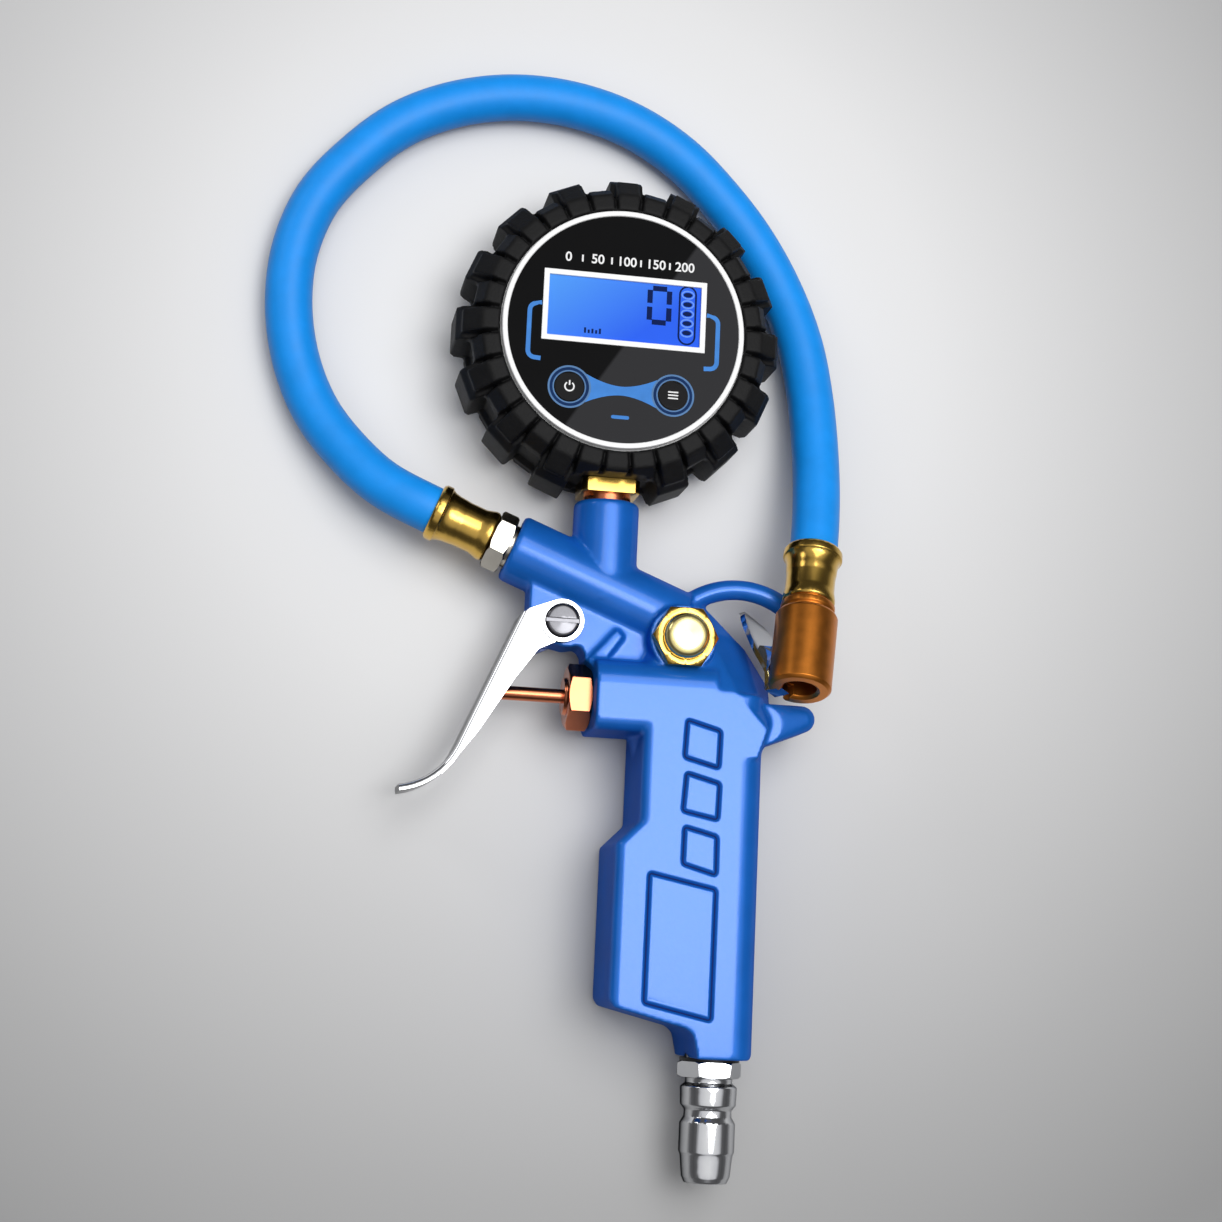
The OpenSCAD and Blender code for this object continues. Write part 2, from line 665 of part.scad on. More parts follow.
module gauge_case() {
    r = case_r;
    back_t = 2;
    color("dimgray") in_row_frame() at_gauge() difference() {
        union() {
            rotate_extrude() polygon([
                [0, case_z0], [r - 1, case_z0], [r, case_z0 + 1], [r, case_z1], [r - case_wall, case_z1],
                [r - case_wall, case_z0 + back_t], [0, case_z0 + back_t]
            ]);
            // Walls of the battery bay
            translate([-bay_w / 2 - 1.4, bay_y[0] - 1.4, case_z0 + back_t])
                cube([bay_w + 2.8, bay_y[1] - bay_y[0] + 2.8, cell_d + 1.4]);
            // Posts under the circuit board
            for (a = [30, 150, 210, 330])
                rotate([0, 0, a]) translate([r - 8.5, 0, case_z0 + 1]) cylinder(r = 2, h = board_z - case_z0 - 1);
            // Boss for the cover's screw
            translate([0, bay_y[0] - 4, case_z0 + 1]) cylinder(r = 2.6, h = 9);
        }
        translate([-bay_w / 2, bay_y[0], case_z0 - 1]) cube([bay_w, bay_y[1] - bay_y[0], cell_d + 3.6]);
        translate([-bay_w / 2 - 1, bay_y[0] - 7, case_z0 - 1]) cube([bay_w + 2, bay_y[1] - bay_y[0] + 8, 2]);
        translate([0, bay_y[0] - 4, case_z0]) cylinder(r = 1, h = 8);
        along_down(0, -r + 6, bore_z) cylinder(r = stem_shank_r + seat_gap, h = 12);
    }
}

// One tread block standing on the boot, by its section in radius and height
module tread_block(angle, width, section) {
    rotate([0, 0, angle]) rotate([90, 0, 0]) translate([0, 0, -width / 2]) linear_extrude(width) polygon(section);
}

// Rubber boot: carcass with lips, front and rear shoulder blocks, and big lobes between them
module gauge_boot() {
    d = gauge_depth;
    c = carcass_r;
    pitch = 360 / lobe_count;
    lip_r0 = case_r - 1.7;
    carcass = [
        [case_r - 2.6, 0], [c - 2.6, 0], [c, 3], [c, d - 6], [c - 2, d - 1.8], [lip_r0 + 1, d - 1], [lip_r0, d - 1],
        [lip_r0, case_z1 + bezel_flange_t + 0.1], [case_r + seat_gap, case_z1 + bezel_flange_t + 0.1],
        [case_r + seat_gap, case_z0 - 0.05], [case_r - 2.6, case_z0 - 0.05]
    ];
    color([0.13, 0.13, 0.14]) in_row_frame() at_gauge() difference() {
        union() {
            rotate_extrude() polygon(carcass);
            for (i = [0:2 * lobe_count - 1]) {
                a = 90 + i * pitch / 2;
                tip = i % 2 == 0 ? tread_r - 1.4 : tread_r - 3.8;
                front = [[lip_r0 + 0.4, d - 1.3], [lip_r0 + 0.4, d - 0.2], [c - 1, d - 0.5], [tip, d - 4.4],
                    [tip, d - 8.5], [c - 1, d - 8.5], [case_r + 0.5, d - 1.4]];
                tread_block(a, 5.9, front);
                tread_block(a, 5.9, [for (p = front) [p[0], d - p[1] - 0.2]]);
            }
            for (i = [0:lobe_count - 1])
                tread_block(90 + i * pitch, 8.6, [[c - 1, 5.5], [tread_r - 1.2, 6.5], [tread_r, 9], [tread_r, d - 8.6],
                    [tread_r - 1.4, d - 6.4], [c - 1, d - 5.4]]);
        }
        // Room for the square of the gauge stem
        translate([-stem_square / 2 - 1, -tread_r - 1, bore_z - 9]) cube([stem_square + 2, tread_r + 1 - c + 0.1, 30]);
        along_down(0, -case_r + 2, bore_z) cylinder(r = stem_shank_r + 0.1, h = 14);
    }
}

module gauge_bezel() {
    r = face_r;
    color("white") in_row_frame() at_gauge(case_z1) rotate_extrude() polygon([
        [r - 1, 0], [case_r - 0.1, 0], [case_r - 0.1, bezel_flange_t], [r + bezel_ring_w, bezel_flange_t],
        [r + bezel_ring_w, bezel_h], [r, bezel_h], [r, bezel_h - 2.1], [r - 1, bezel_h - 2.1]
    ]);
}

module lcd_block(dw, h) { translate([-lcd_w / 2 - dw, lcd_dy - lcd_h / 2 - dw, 0]) cube([lcd_w + 2 * dw, lcd_h + 2 * dw, h]); }

module at_key(side) { translate([side * key_pitch / 2, key_dy, 0]) children(); }

module gauge_faceplate() {
    color([0.06, 0.06, 0.07]) in_row_frame() at_gauge(face_z - face_t) difference() {
        cylinder(r = face_r - seat_gap, h = face_t);
        translate([0, 0, -1]) lcd_block(lcd_rim + seat_gap, face_t + 2);
        for (side = [-1, 1]) at_key(side) translate([0, 0, -1]) cylinder(r = key_d / 2 + slide_gap, h = face_t + 2);
    }
}

module display_frame() {
    color("white") in_row_frame() at_gauge(face_z - face_t) difference() {
        lcd_block(lcd_rim, face_t + 0.2);
        translate([0, 0, -1]) lcd_block(0, face_t + 3);
    }
}

module display_panel() {
    back_z = board_z + board_t;
    color("dodgerblue") in_row_frame() at_gauge() {
        translate([0, 0, back_z]) lcd_block(lcd_rim + 0.8, face_z - face_t - back_z);
        translate([0, 0, back_z]) lcd_block(-seat_gap, face_z - 0.4 - back_z);
    }
}

module circuit_board() {
    color("darkgreen") in_row_frame() at_gauge(board_z) cylinder(r = board_r, h = board_t);
}

// Key cap with its flange under the faceplate and a foot on the board
module gauge_key(side) {
    cap_h = face_z + 0.3 - (board_z + board_t + key_travel);
    flange_z = face_z - face_t - 0.8 - slide_gap;
    color([0.1, 0.1, 0.11]) in_row_frame() at_gauge() at_key(side) {
        translate([0, 0, board_z + board_t + key_travel + slide_gap]) cylinder(r = key_d / 2 - 1.2, h = cap_h - 1);
        translate([0, 0, flange_z]) cylinder(r = key_d / 2 + 0.8, h = 0.8);
        translate([0, 0, flange_z]) cylinder(r = key_d / 2, h = face_z + 0.3 - flange_z);
    }
}

module power_key() { gauge_key(-1); }
module mode_key() { gauge_key(1); }

module pressure_sensor() {
    pipe_end = -case_r + 7;
    color("silver") in_row_frame() at_gauge(bore_z) translate([0, pipe_end, 0]) {
        along_up(0, 0, 0) cylinder(r = 6, h = 7);
        translate([-3, 1.5, 0]) cube([6, 4, board_z - bore_z]);
    }
}

module cells_at(i) { translate([0, bay_y[0] + 5.6 + i * (cell_d + 0.3), cell_z]) children(); }

module battery_cells() {
    color("goldenrod") in_row_frame() at_gauge() for (i = [0, 1]) cells_at(i) rotate([0, 0, 180 * i]) {
        along_x(-cell_len / 2, 0, 0) cylinder(d = cell_d, h = cell_len - 1);
        along_x(cell_len / 2 - 1, 0, 0) cylinder(d = 3.6, h = 1);
    }
}

module battery_contacts() {
    t = contact_t - 2 * seat_gap;
    color("silver") in_row_frame() at_gauge() for (side = [-1, 1])
        translate([side * (bay_w - contact_t) / 2 - t / 2, bay_y[0] + 1, cell_z - 4])
            cube([t, bay_y[1] - bay_y[0] - 2, 8]);
}

module battery_cover() {
    color("dimgray") in_row_frame() at_gauge(case_z0) difference() {
        translate([-bay_w / 2 - 0.9, bay_y[0] - 6.9, 0]) cube([bay_w + 1.8, bay_y[1] - bay_y[0] + 7.8, 1]);
        translate([0, bay_y[0] - 4, -1]) cylinder(r = 1.1, h = 4);
        for (i = [-2:2]) translate([-9, bay_y[1] - 6 + i * 1.6, -0.01]) cube([18, 0.8, 0.4]);
    }
}

module battery_cover_screw() {
    color("silver") in_row_frame() at_gauge(case_z0) translate([0, bay_y[0] - 4, 0]) difference() {
        union() {
            translate([0, 0, -0.9]) cylinder(r = 1.9, h = 0.9);
            cylinder(r = 0.98, h = 7);
        }
        for (a = [0, 90]) rotate([0, 0, a]) translate([-1.3, -0.25, -1.5]) cube([2.6, 0.5, 1.1]);
    }
}

// ---------- hose and chuck ----------

module union_nut() {
    color("silver") in_row_frame() at_head() difference() {
        union() {
            translate([0, 0, -9]) cylinder(r = head_port_r - seat_gap, h = 9);
            cylinder(r = 5.6, h = union_neck);
            translate([0, 0, union_neck]) hex_body(union_af / cos(30), union_t, 0.8);
        }
        translate([0, 0, -10]) cylinder(r = 3, h = 20);
    }
}

// Crimped sleeve with a flared mouth, closed by the end of the hose barb
module ferrule(len, r_back, r_waist, r_mouth) {
    difference() {
        rotate_extrude() polygon(concat(
            [[0, 0], [r_back - 0.6, 0], [r_back, 0.6], [r_back, 1.6], [r_waist, 4]],
            [[r_waist, len - 8], [r_waist + 0.2, len - 6.4]],
            [for (t = [0:4]) [r_waist + 0.2 + (r_mouth - r_waist - 0.2) * (1 - cos(t * 22.5)), len - 6.4 + 4 * sin(t * 22.5)]],
            [[r_mouth, len - 0.8], [r_mouth - 0.5, len], [0, len]]));
        translate([0, 0, len - ferrule_socket]) cylinder(r = hose_r + slide_gap, h = ferrule_socket + 1);
        translate([0, 0, -1]) cylinder(r = 2.4, h = len);
    }
}

gun_ferrule_z = union_neck + union_t;
gun_hose_z = gun_ferrule_z + ferrule_len - ferrule_socket;

module hose_ferrule_gun() {
    color("gold") in_row_frame() at_head() translate([0, 0, gun_ferrule_z])
        ferrule(ferrule_len, 6.6, 5.9, hose_r + ferrule_lip);
}

module hose_ferrule_chuck() {
    color("gold") in_row_frame() at_chuck() translate([0, 0, chuck_ferrule_len]) mirror([0, 0, 1])
        ferrule(chuck_ferrule_len, 6.7, 6.3, hose_r + ferrule_lip + 0.2);
}

// Where the hose starts and ends, and its direction there
head_dir = [cos(head_out), sin(head_out), 0];
chuck_dir = [cos(chuck_tilt) * cos(chuck_yaw), cos(chuck_tilt) * sin(chuck_yaw), sin(chuck_tilt)];
head_end_3d = [head_end[0], head_end[1], bore_z];
hose_points = concat(
    [head_end_3d + gun_hose_z * head_dir, head_end_3d + (gun_hose_z + 5) * head_dir],
    hose_route,
    [chuck_start - 2 * chuck_dir, chuck_start + ferrule_socket * chuck_dir]);

function unit(v) = v / norm(v);
function hose_tangent(i) =
    let (last = len(hose_points) - 1)
    i == 0 ? head_dir : i == 1 ? head_dir : i >= last - 1 ? chuck_dir : unit(hose_points[i + 1] - hose_points[i - 1]);

module hose() {
    sides = 12;
    last = len(hose_points) - 1;
    pts = [for (i = [0:last], k = [0:sides - 1])
        let (t = hose_tangent(i), side = unit(cross(t, [0, 0, 1])), up = cross(side, t), a = 360 * k / sides)
        hose_points[i] + hose_r * (cos(a) * side + sin(a) * up)];
    walls = [for (i = [0:last - 1], k = [0:sides - 1])
        let (p = i * sides + k, q = i * sides + (k + 1) % sides) each [[p, q + sides, q], [p, p + sides, q + sides]]];
    caps = [for (k = [1:sides - 2]) each [[0, k, k + 1], [last * sides, last * sides + k + 1, last * sides + k]]];
    color("deepskyblue") in_row_frame() polyhedron(pts, concat(walls, caps));
}

module chuck_body() {
    r = chuck_d / 2;
    w0 = chuck_ferrule_len;
    bore_w = chuck_len - socket_depth;
    color("chocolate") in_row_frame() at_chuck() difference() {
        rotate_extrude() polygon([
            [0, w0], [r - 1.5, w0], [r - 1, w0 + 0.6], [r - 1, w0 + 1.8], [r - 1.5, w0 + 2.3], [r - 1.5, w0 + 2.7],
            [r - 0.4, w0 + 3.2], [r, w0 + 4],
            [r, chuck_len - 0.8], [r - 0.8, chuck_len], [0, chuck_len]
        ]);
        translate([0, 0, bore_w]) cylinder(r = socket_r, h = socket_depth + 1);
        translate([0, 0, chuck_len - 0.7]) cylinder(r1 = socket_r, r2 = socket_r + 0.9, h = 0.71);
        translate([0, 0, bore_w - 5]) cylinder(r = 3.4, h = 6);
        translate([0, 0, w0 - 1]) cylinder(r = 1.6, h = chuck_len);
        // Slot for the clip and the window for its jaw
        rotate([0, 0, clip_turn - 90]) {
            translate([clip_pin_out - 1.4, -clip_slot_w / 2, clip_pin_w - 9]) cube([r, clip_slot_w, chuck_len]);
            translate([1, -2.3, chuck_len - 3.4]) cube([r, 4.6, chuck_len]);
            translate([clip_pin_out, 0, clip_pin_w]) rotate([90, 0, 0]) translate([0, 0, -r])
                cylinder(r = clip_pin_r + seat_gap, h = 2 * r);
        }
    }
}

module chuck_seal() {
    color("black") in_row_frame() at_chuck() translate([0, 0, chuck_len - socket_depth - 2.2]) ring(3.4 - seat_gap, 1.9, 2.2);
}

// Pin in the socket that opens the tyre's valve, on a perforated disc
module valve_depressor() {
    w = chuck_len - socket_depth;
    color("gold") in_row_frame() at_chuck() {
        translate([0, 0, w - 5 + 0.1]) difference() {
            cylinder(r = 3.4 - seat_gap, h = 2.6);
            for (a = [0:90:270]) rotate([0, 0, a]) translate([2.1, 0, -1]) cylinder(r = 0.6, h = 5);
        }
        translate([0, 0, w - 4]) cylinder(r = 0.9, h = 3.8);
    }
}

clip_r0 = chuck_d / 2 + 0.2;

// Point on the clip's leaning strip: s along it from the bend, d out from its inner face
function on_clip(s, d) = [clip_r0 + s * sin(clip_lean) + d * cos(clip_lean),
    clip_bend_w - s * cos(clip_lean) + d * sin(clip_lean)];

// Side view of the clip: distance out from the chuck's axis, place along it
function clip_profile() = concat(
    [[socket_r + 0.2, chuck_len - 0.9], [socket_r + 0.2, chuck_len - 2.9], [clip_r0, chuck_len - 2.9]],
    [[clip_r0, clip_bend_w], on_clip(clip_pad_len - 4, 0)],
    arc_points(on_clip(clip_pad_len - 4, clip_curl_r), clip_curl_r, 180 + clip_lean, 210 + clip_lean, 4),
    arc_points(on_clip(clip_pad_len - 4, clip_curl_r), clip_curl_r - clip_sheet, 210 + clip_lean, 180 + clip_lean, 4),
    [on_clip(0.4, clip_sheet), [clip_r0 + clip_sheet, chuck_len - 1.4], [clip_r0 + 0.8, chuck_len - 0.9]]);

// The clip unrolled: narrow at the jaw, wide and round at the thumb pad
function clip_plan() =
    let (half = clip_pad_w / 2, tip_w = clip_bend_w - clip_pad_len * cos(clip_lean))
    concat([[-chuck_len, -2.1], [-chuck_len, 2.1], [3.6 - chuck_len, 2.1], [-clip_bend_w + 1, 2.9], [-tip_w - 14, half - 1], [-tip_w - 8, half]],
        arc_points([-tip_w - half, 0], half, 90, -90, 12),
        [[-tip_w - 8, -half], [-tip_w - 14, 1 - half], [-clip_bend_w + 1, -2.9], [3.6 - chuck_len, -2.1]]);

module clip_lever() {
    color("silver") in_row_frame() at_clip() difference() {
        union() {
            // Strip with the jaw at one end and a wide, round thumb pad at the other
            intersection() {
                translate([0, clip_pad_w / 2, 0]) rotate([90, 0, 0]) linear_extrude(clip_pad_w) polygon(clip_profile());
                rotate([0, 90, 0]) linear_extrude(30) polygon(clip_plan());
            }
            // Lug round the pin
            translate([clip_pin_out, clip_w / 2, clip_pin_w]) rotate([90, 0, 0]) cylinder(r = 1.2, h = clip_w);
            translate([0, clip_w / 2, 0]) rotate([90, 0, 0]) linear_extrude(clip_w) polygon([
                [clip_pin_out, clip_pin_w - 1.2], [clip_pin_out, clip_pin_w + 1.2],
                [clip_r0 + 0.5, clip_bend_w], on_clip(clip_bend_w - clip_pin_w + 4, 0.5)]);
        }
        translate([clip_pin_out, 10, clip_pin_w]) rotate([90, 0, 0]) cylinder(r = clip_pin_r + slide_gap, h = 20);
    }
}

module clip_pin() {
    half = sqrt(pow(chuck_d / 2, 2) - pow(clip_pin_out, 2)) - 0.3;
    color("silver") in_row_frame() at_clip() translate([clip_pin_out, half, clip_pin_w]) rotate([90, 0, 0])
        cylinder(r = clip_pin_r, h = 2 * half);
}

body_casting();
inlet_nipple();
inlet_seal();
gland_nut();
gland_seal();
valve_stem();
valve_washer();
valve_seat();
valve_spring();
trigger_lever();
pivot_screw();
pivot_nut();
bleed_nut();
bleed_button();
bleed_washer();
bleed_spring();
gauge_stem();
gauge_stem_seal();
gauge_case();
gauge_boot();
gauge_bezel();
gauge_faceplate();
display_frame();
display_panel();
circuit_board();
power_key();
mode_key();
pressure_sensor();
battery_cells();
battery_contacts();
battery_cover();
battery_cover_screw();
union_nut();
hose_ferrule_gun();
hose();
hose_ferrule_chuck();
chuck_body();
chuck_seal();
valve_depressor();
clip_lever();
clip_pin();
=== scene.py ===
import json
import math

import bmesh
import bpy
from mathutils import Matrix, Vector


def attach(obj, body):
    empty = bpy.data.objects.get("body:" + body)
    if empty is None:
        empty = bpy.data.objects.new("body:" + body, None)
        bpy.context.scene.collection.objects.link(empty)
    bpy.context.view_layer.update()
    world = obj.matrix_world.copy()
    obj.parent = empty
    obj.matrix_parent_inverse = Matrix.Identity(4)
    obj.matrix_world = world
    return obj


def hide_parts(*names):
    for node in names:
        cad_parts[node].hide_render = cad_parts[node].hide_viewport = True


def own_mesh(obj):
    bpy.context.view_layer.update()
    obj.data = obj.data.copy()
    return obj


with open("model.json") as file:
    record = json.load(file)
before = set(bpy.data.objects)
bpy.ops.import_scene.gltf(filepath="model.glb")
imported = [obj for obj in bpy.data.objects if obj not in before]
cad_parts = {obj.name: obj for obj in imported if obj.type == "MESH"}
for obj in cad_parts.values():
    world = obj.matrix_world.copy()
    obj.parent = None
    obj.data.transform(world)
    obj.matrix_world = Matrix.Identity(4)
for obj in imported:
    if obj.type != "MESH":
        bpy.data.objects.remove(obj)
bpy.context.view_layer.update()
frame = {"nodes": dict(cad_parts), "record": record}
nodes = frame["nodes"]
scene = bpy.context.scene
scene.view_settings.view_transform = "Standard"

MM = 0.001
ROW_X, ROW_Y = 2.032, -14.65  # the row frame's origin in the gun's own frame, mm
GAUGE_X, GAUGE_Y = -2.5, 69.7  # middle of the gauge, mm
FACE_Z = 31.0  # top of the faceplate, mm
LCD_Z = 30.6  # top of the display panel, mm


def gun(x, y, z=0.0):
    """Point of the gun's own frame, in mm, as a point of the row frame, in metres."""
    return Vector(((x - ROW_X) * MM, (y - ROW_Y) * MM, z * MM))


def on_gauge(x, y, z=FACE_Z):
    """Point given from the middle of the gauge, in mm, as a point of the row frame."""
    return gun(GAUGE_X + x, GAUGE_Y + y, z)


# ---------- camera ----------

SENSOR_W, LENS = 36.0, 64.66  # mm
CAMERA_AT = (-87.60, -92.43, 560.33)  # in the gun's own frame, mm
CAMERA_RIGHT = (0.98514, 0.04474, 0.16584)
CAMERA_UP = (-0.07094, 0.98527, 0.15560)
CAMERA_BACK = (-0.15643, -0.16505, 0.97380)


def add_camera():
    data = bpy.data.cameras.new("photo_view")
    data.sensor_width = SENSOR_W
    data.lens = LENS
    data.clip_start = 0.01
    data.clip_end = 20.0
    cam = bpy.data.objects.new("photo_view", data)
    scene.collection.objects.link(cam)
    turn = Matrix((CAMERA_RIGHT, CAMERA_UP, CAMERA_BACK)).transposed().to_4x4()
    cam.matrix_world = Matrix.Translation(gun(*CAMERA_AT)) @ turn
    scene.camera = cam


add_camera()


# ---------- hose ----------

HOSE_R = 6.15
HEAD_END = Vector((-26.4, 14.45, 15.5))  # open end of the casting's hose tube
HEAD_ANGLE = math.radians(158.7)
HEAD_DIR = Vector((math.cos(HEAD_ANGLE), math.sin(HEAD_ANGLE), 0.0))
HOSE_STEPS = 8  # stretches of the curve between two points of the route
CHUCK_START = Vector((50.8, 17.9, 22))
CHUCK_DIR = Vector((-0.13932, -0.94349, 0.30071))
HOSE_ROUTE = [
    HEAD_END + 18.8 * HEAD_DIR, HEAD_END + 23.8 * HEAD_DIR,
    (-60, 29, 13), (-69, 37, 10), (-77.5, 47.5, 7.5), (-83.5, 60.5, 6.15), (-86.5, 75, 6.15),
    (-86, 90, 6.15), (-81, 105, 6.15), (-72, 117, 6.15), (-60, 128, 6.15), (-46, 135, 6.15),
    (-30, 138.5, 6.15), (-14, 138, 6.15), (1, 134, 6.15), (14.5, 126.5, 6.15), (26, 116, 6.15),
    (36, 104, 6.15), (44, 90, 6.8), (49, 76, 8.5), (51.6, 62, 10.2), (52.6, 48, 13), (52.4, 34, 17),
    CHUCK_START - 2 * CHUCK_DIR, CHUCK_START + 3 * CHUCK_DIR,
]


def smooth_path(points, steps, floor):
    """Even curve through the points, never lower than floor."""
    pts = [Vector(p) for p in points]
    pts = [2 * pts[0] - pts[1]] + pts + [2 * pts[-1] - pts[-2]]
    out = []
    for i in range(1, len(pts) - 2):
        a, b, c, d = pts[i - 1:i + 3]
        ab, bc, cd = (b - a).length, (c - b).length, (d - c).length
        tb = ((c - b) / bc * ab + (b - a) / ab * bc) / (ab + bc) * bc
        tc = ((d - c) / cd * bc + (c - b) / bc * cd) / (bc + cd) * bc
        for k in range(steps):
            t = k / steps
            t2, t3 = t * t, t * t * t
            p = (2 * t3 - 3 * t2 + 1) * b + (t3 - 2 * t2 + t) * tb + (3 * t2 - 2 * t3) * c + (t3 - t2) * tc
            out.append(p)
    out.append(pts[-2])
    return [Vector((p.x, p.y, max(p.z, floor))) for p in out]


hose_line = [gun(*p) for p in smooth_path(HOSE_ROUTE, HOSE_STEPS, HOSE_R)]


def evaluated_mesh(obj):
    """New mesh with what an object's modifiers or bevel make of it."""
    bpy.context.view_layer.update()
    return bpy.data.meshes.new_from_object(obj.evaluated_get(bpy.context.evaluated_depsgraph_get()))


def add_hose():
    """Round tube along the hose's line."""
    data = bpy.data.curves.new("air_hose", "CURVE")
    data.dimensions = "3D"
    data.bevel_depth = HOSE_R * MM
    data.bevel_resolution = 7
    data.use_fill_caps = True
    spline = data.splines.new("POLY")
    spline.points.add(len(hose_line) - 1)
    for p, co in zip(spline.points, hose_line):
        p.co = (*co, 1.0)
    spline.use_smooth = True
    line = bpy.data.objects.new("hose_line", data)
    scene.collection.objects.link(line)
    tube = evaluated_mesh(line)
    bpy.data.objects.remove(line)
    tube.name = "air_hose"
    obj = bpy.data.objects.new("air_hose", tube)
    scene.collection.objects.link(obj)
    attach(obj, "gun")
    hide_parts("hose")
    return obj


hose = add_hose()


# ---------- materials ----------

def srgb(r, g, b):
    """Linear colour of an 8-bit sRGB one."""
    def one(v):
        v /= 255
        return v / 12.92 if v <= 0.04045 else ((v + 0.055) / 1.055) ** 2.4
    return (one(r), one(g), one(b), 1.0)


FACING_UP = (0.1, 0.72)  # vertical part of the normal of a face that counts as upright, and as flat, for the painted shade on upright faces
COAT_FADE = 0.8  # how far from facing the eye the lacquer's gloss has faded out


def surface(name, colour, rough, metallic=0.0, shade=0.12, grain=350.0, bump=0.0, bump_grain=None,
            coat=0.0, coat_rough=0.1, rough_spread=0.06, specular=0.5, painted_side_shade=1.0, tint=(1, 1, 1, 1)):
    """Material whose colour, roughness and relief vary a little over the surface."""
    mat = bpy.data.materials.new(name)
    mat.use_nodes = True
    tree = mat.node_tree
    new, link = tree.nodes.new, tree.links.new
    shader = tree.nodes["Principled BSDF"]
    place = new("ShaderNodeTexCoord")
    noise = new("ShaderNodeTexNoise")
    noise.inputs["Scale"].default_value = grain
    noise.inputs["Detail"].default_value = 4.0
    link(place.outputs["Object"], noise.inputs["Vector"])
    ramp = new("ShaderNodeValToRGB")
    ramp.color_ramp.elements[0].position = 0.3
    ramp.color_ramp.elements[1].position = 0.7
    ramp.color_ramp.elements[0].color = (*[c * (1 - shade) for c in colour[:3]], 1)
    ramp.color_ramp.elements[1].color = (*[min(1.0, c * (1 + shade)) for c in colour[:3]], 1)
    link(noise.outputs["Fac"], ramp.inputs["Fac"])
    if painted_side_shade < 1.0:
        # Painted shade: upright faces get a darker base colour and specular tint than those that face up or
        # down, standing in for the dark surroundings that a metal reflects
        geometry = new("ShaderNodeNewGeometry")
        split = new("ShaderNodeSeparateXYZ")
        size = new("ShaderNodeMath")
        size.operation = "ABSOLUTE"
        tone = new("ShaderNodeMapRange")
        tone.inputs["From Min"].default_value, tone.inputs["From Max"].default_value = FACING_UP
        tone.inputs["To Min"].default_value = painted_side_shade
        painted_shade = new("ShaderNodeVectorMath")
        painted_shade.operation = "SCALE"
        link(geometry.outputs["Normal"], split.inputs[0])
        link(split.outputs["Z"], size.inputs[0])
        link(size.outputs["Value"], tone.inputs["Value"])
        link(ramp.outputs["Color"], painted_shade.inputs[0])
        link(tone.outputs["Result"], painted_shade.inputs["Scale"])
        link(painted_shade.outputs["Vector"], shader.inputs["Base Color"])
        link(painted_shade.outputs["Vector"], shader.inputs["Specular Tint"])
    else:
        link(ramp.outputs["Color"], shader.inputs["Base Color"])
    spread = new("ShaderNodeMapRange")
    spread.inputs["To Min"].default_value = max(0.0, rough - rough_spread)
    spread.inputs["To Max"].default_value = min(1.0, rough + rough_spread)
    link(noise.outputs["Fac"], spread.inputs["Value"])
    link(spread.outputs["Result"], shader.inputs["Roughness"])
    shader.inputs["Metallic"].default_value = metallic
    if coat:
        # The lacquer's gloss fades where it is seen at a low angle
        facing = new("ShaderNodeLayerWeight")
        fade = new("ShaderNodeMapRange")
        fade.inputs["From Max"].default_value = COAT_FADE
        fade.inputs["To Min"].default_value = coat
        fade.inputs["To Max"].default_value = 0.0
        link(facing.outputs["Facing"], fade.inputs["Value"])
        link(fade.outputs["Result"], shader.inputs["Coat Weight"])
    shader.inputs["Coat Roughness"].default_value = coat_rough
    shader.inputs["Specular IOR Level"].default_value = specular
    if painted_side_shade == 1.0:
        shader.inputs["Specular Tint"].default_value = tint
    if bump:
        relief = new("ShaderNodeTexNoise")
        relief.inputs["Scale"].default_value = bump_grain or grain * 4
        relief.inputs["Detail"].default_value = 3.0
        link(place.outputs["Object"], relief.inputs["Vector"])
        node = new("ShaderNodeBump")
        node.inputs["Strength"].default_value = 1.0
        node.inputs["Distance"].default_value = bump
        link(relief.outputs["Fac"], node.inputs["Height"])
        link(node.outputs["Normal"], shader.inputs["Normal"])
    return mat


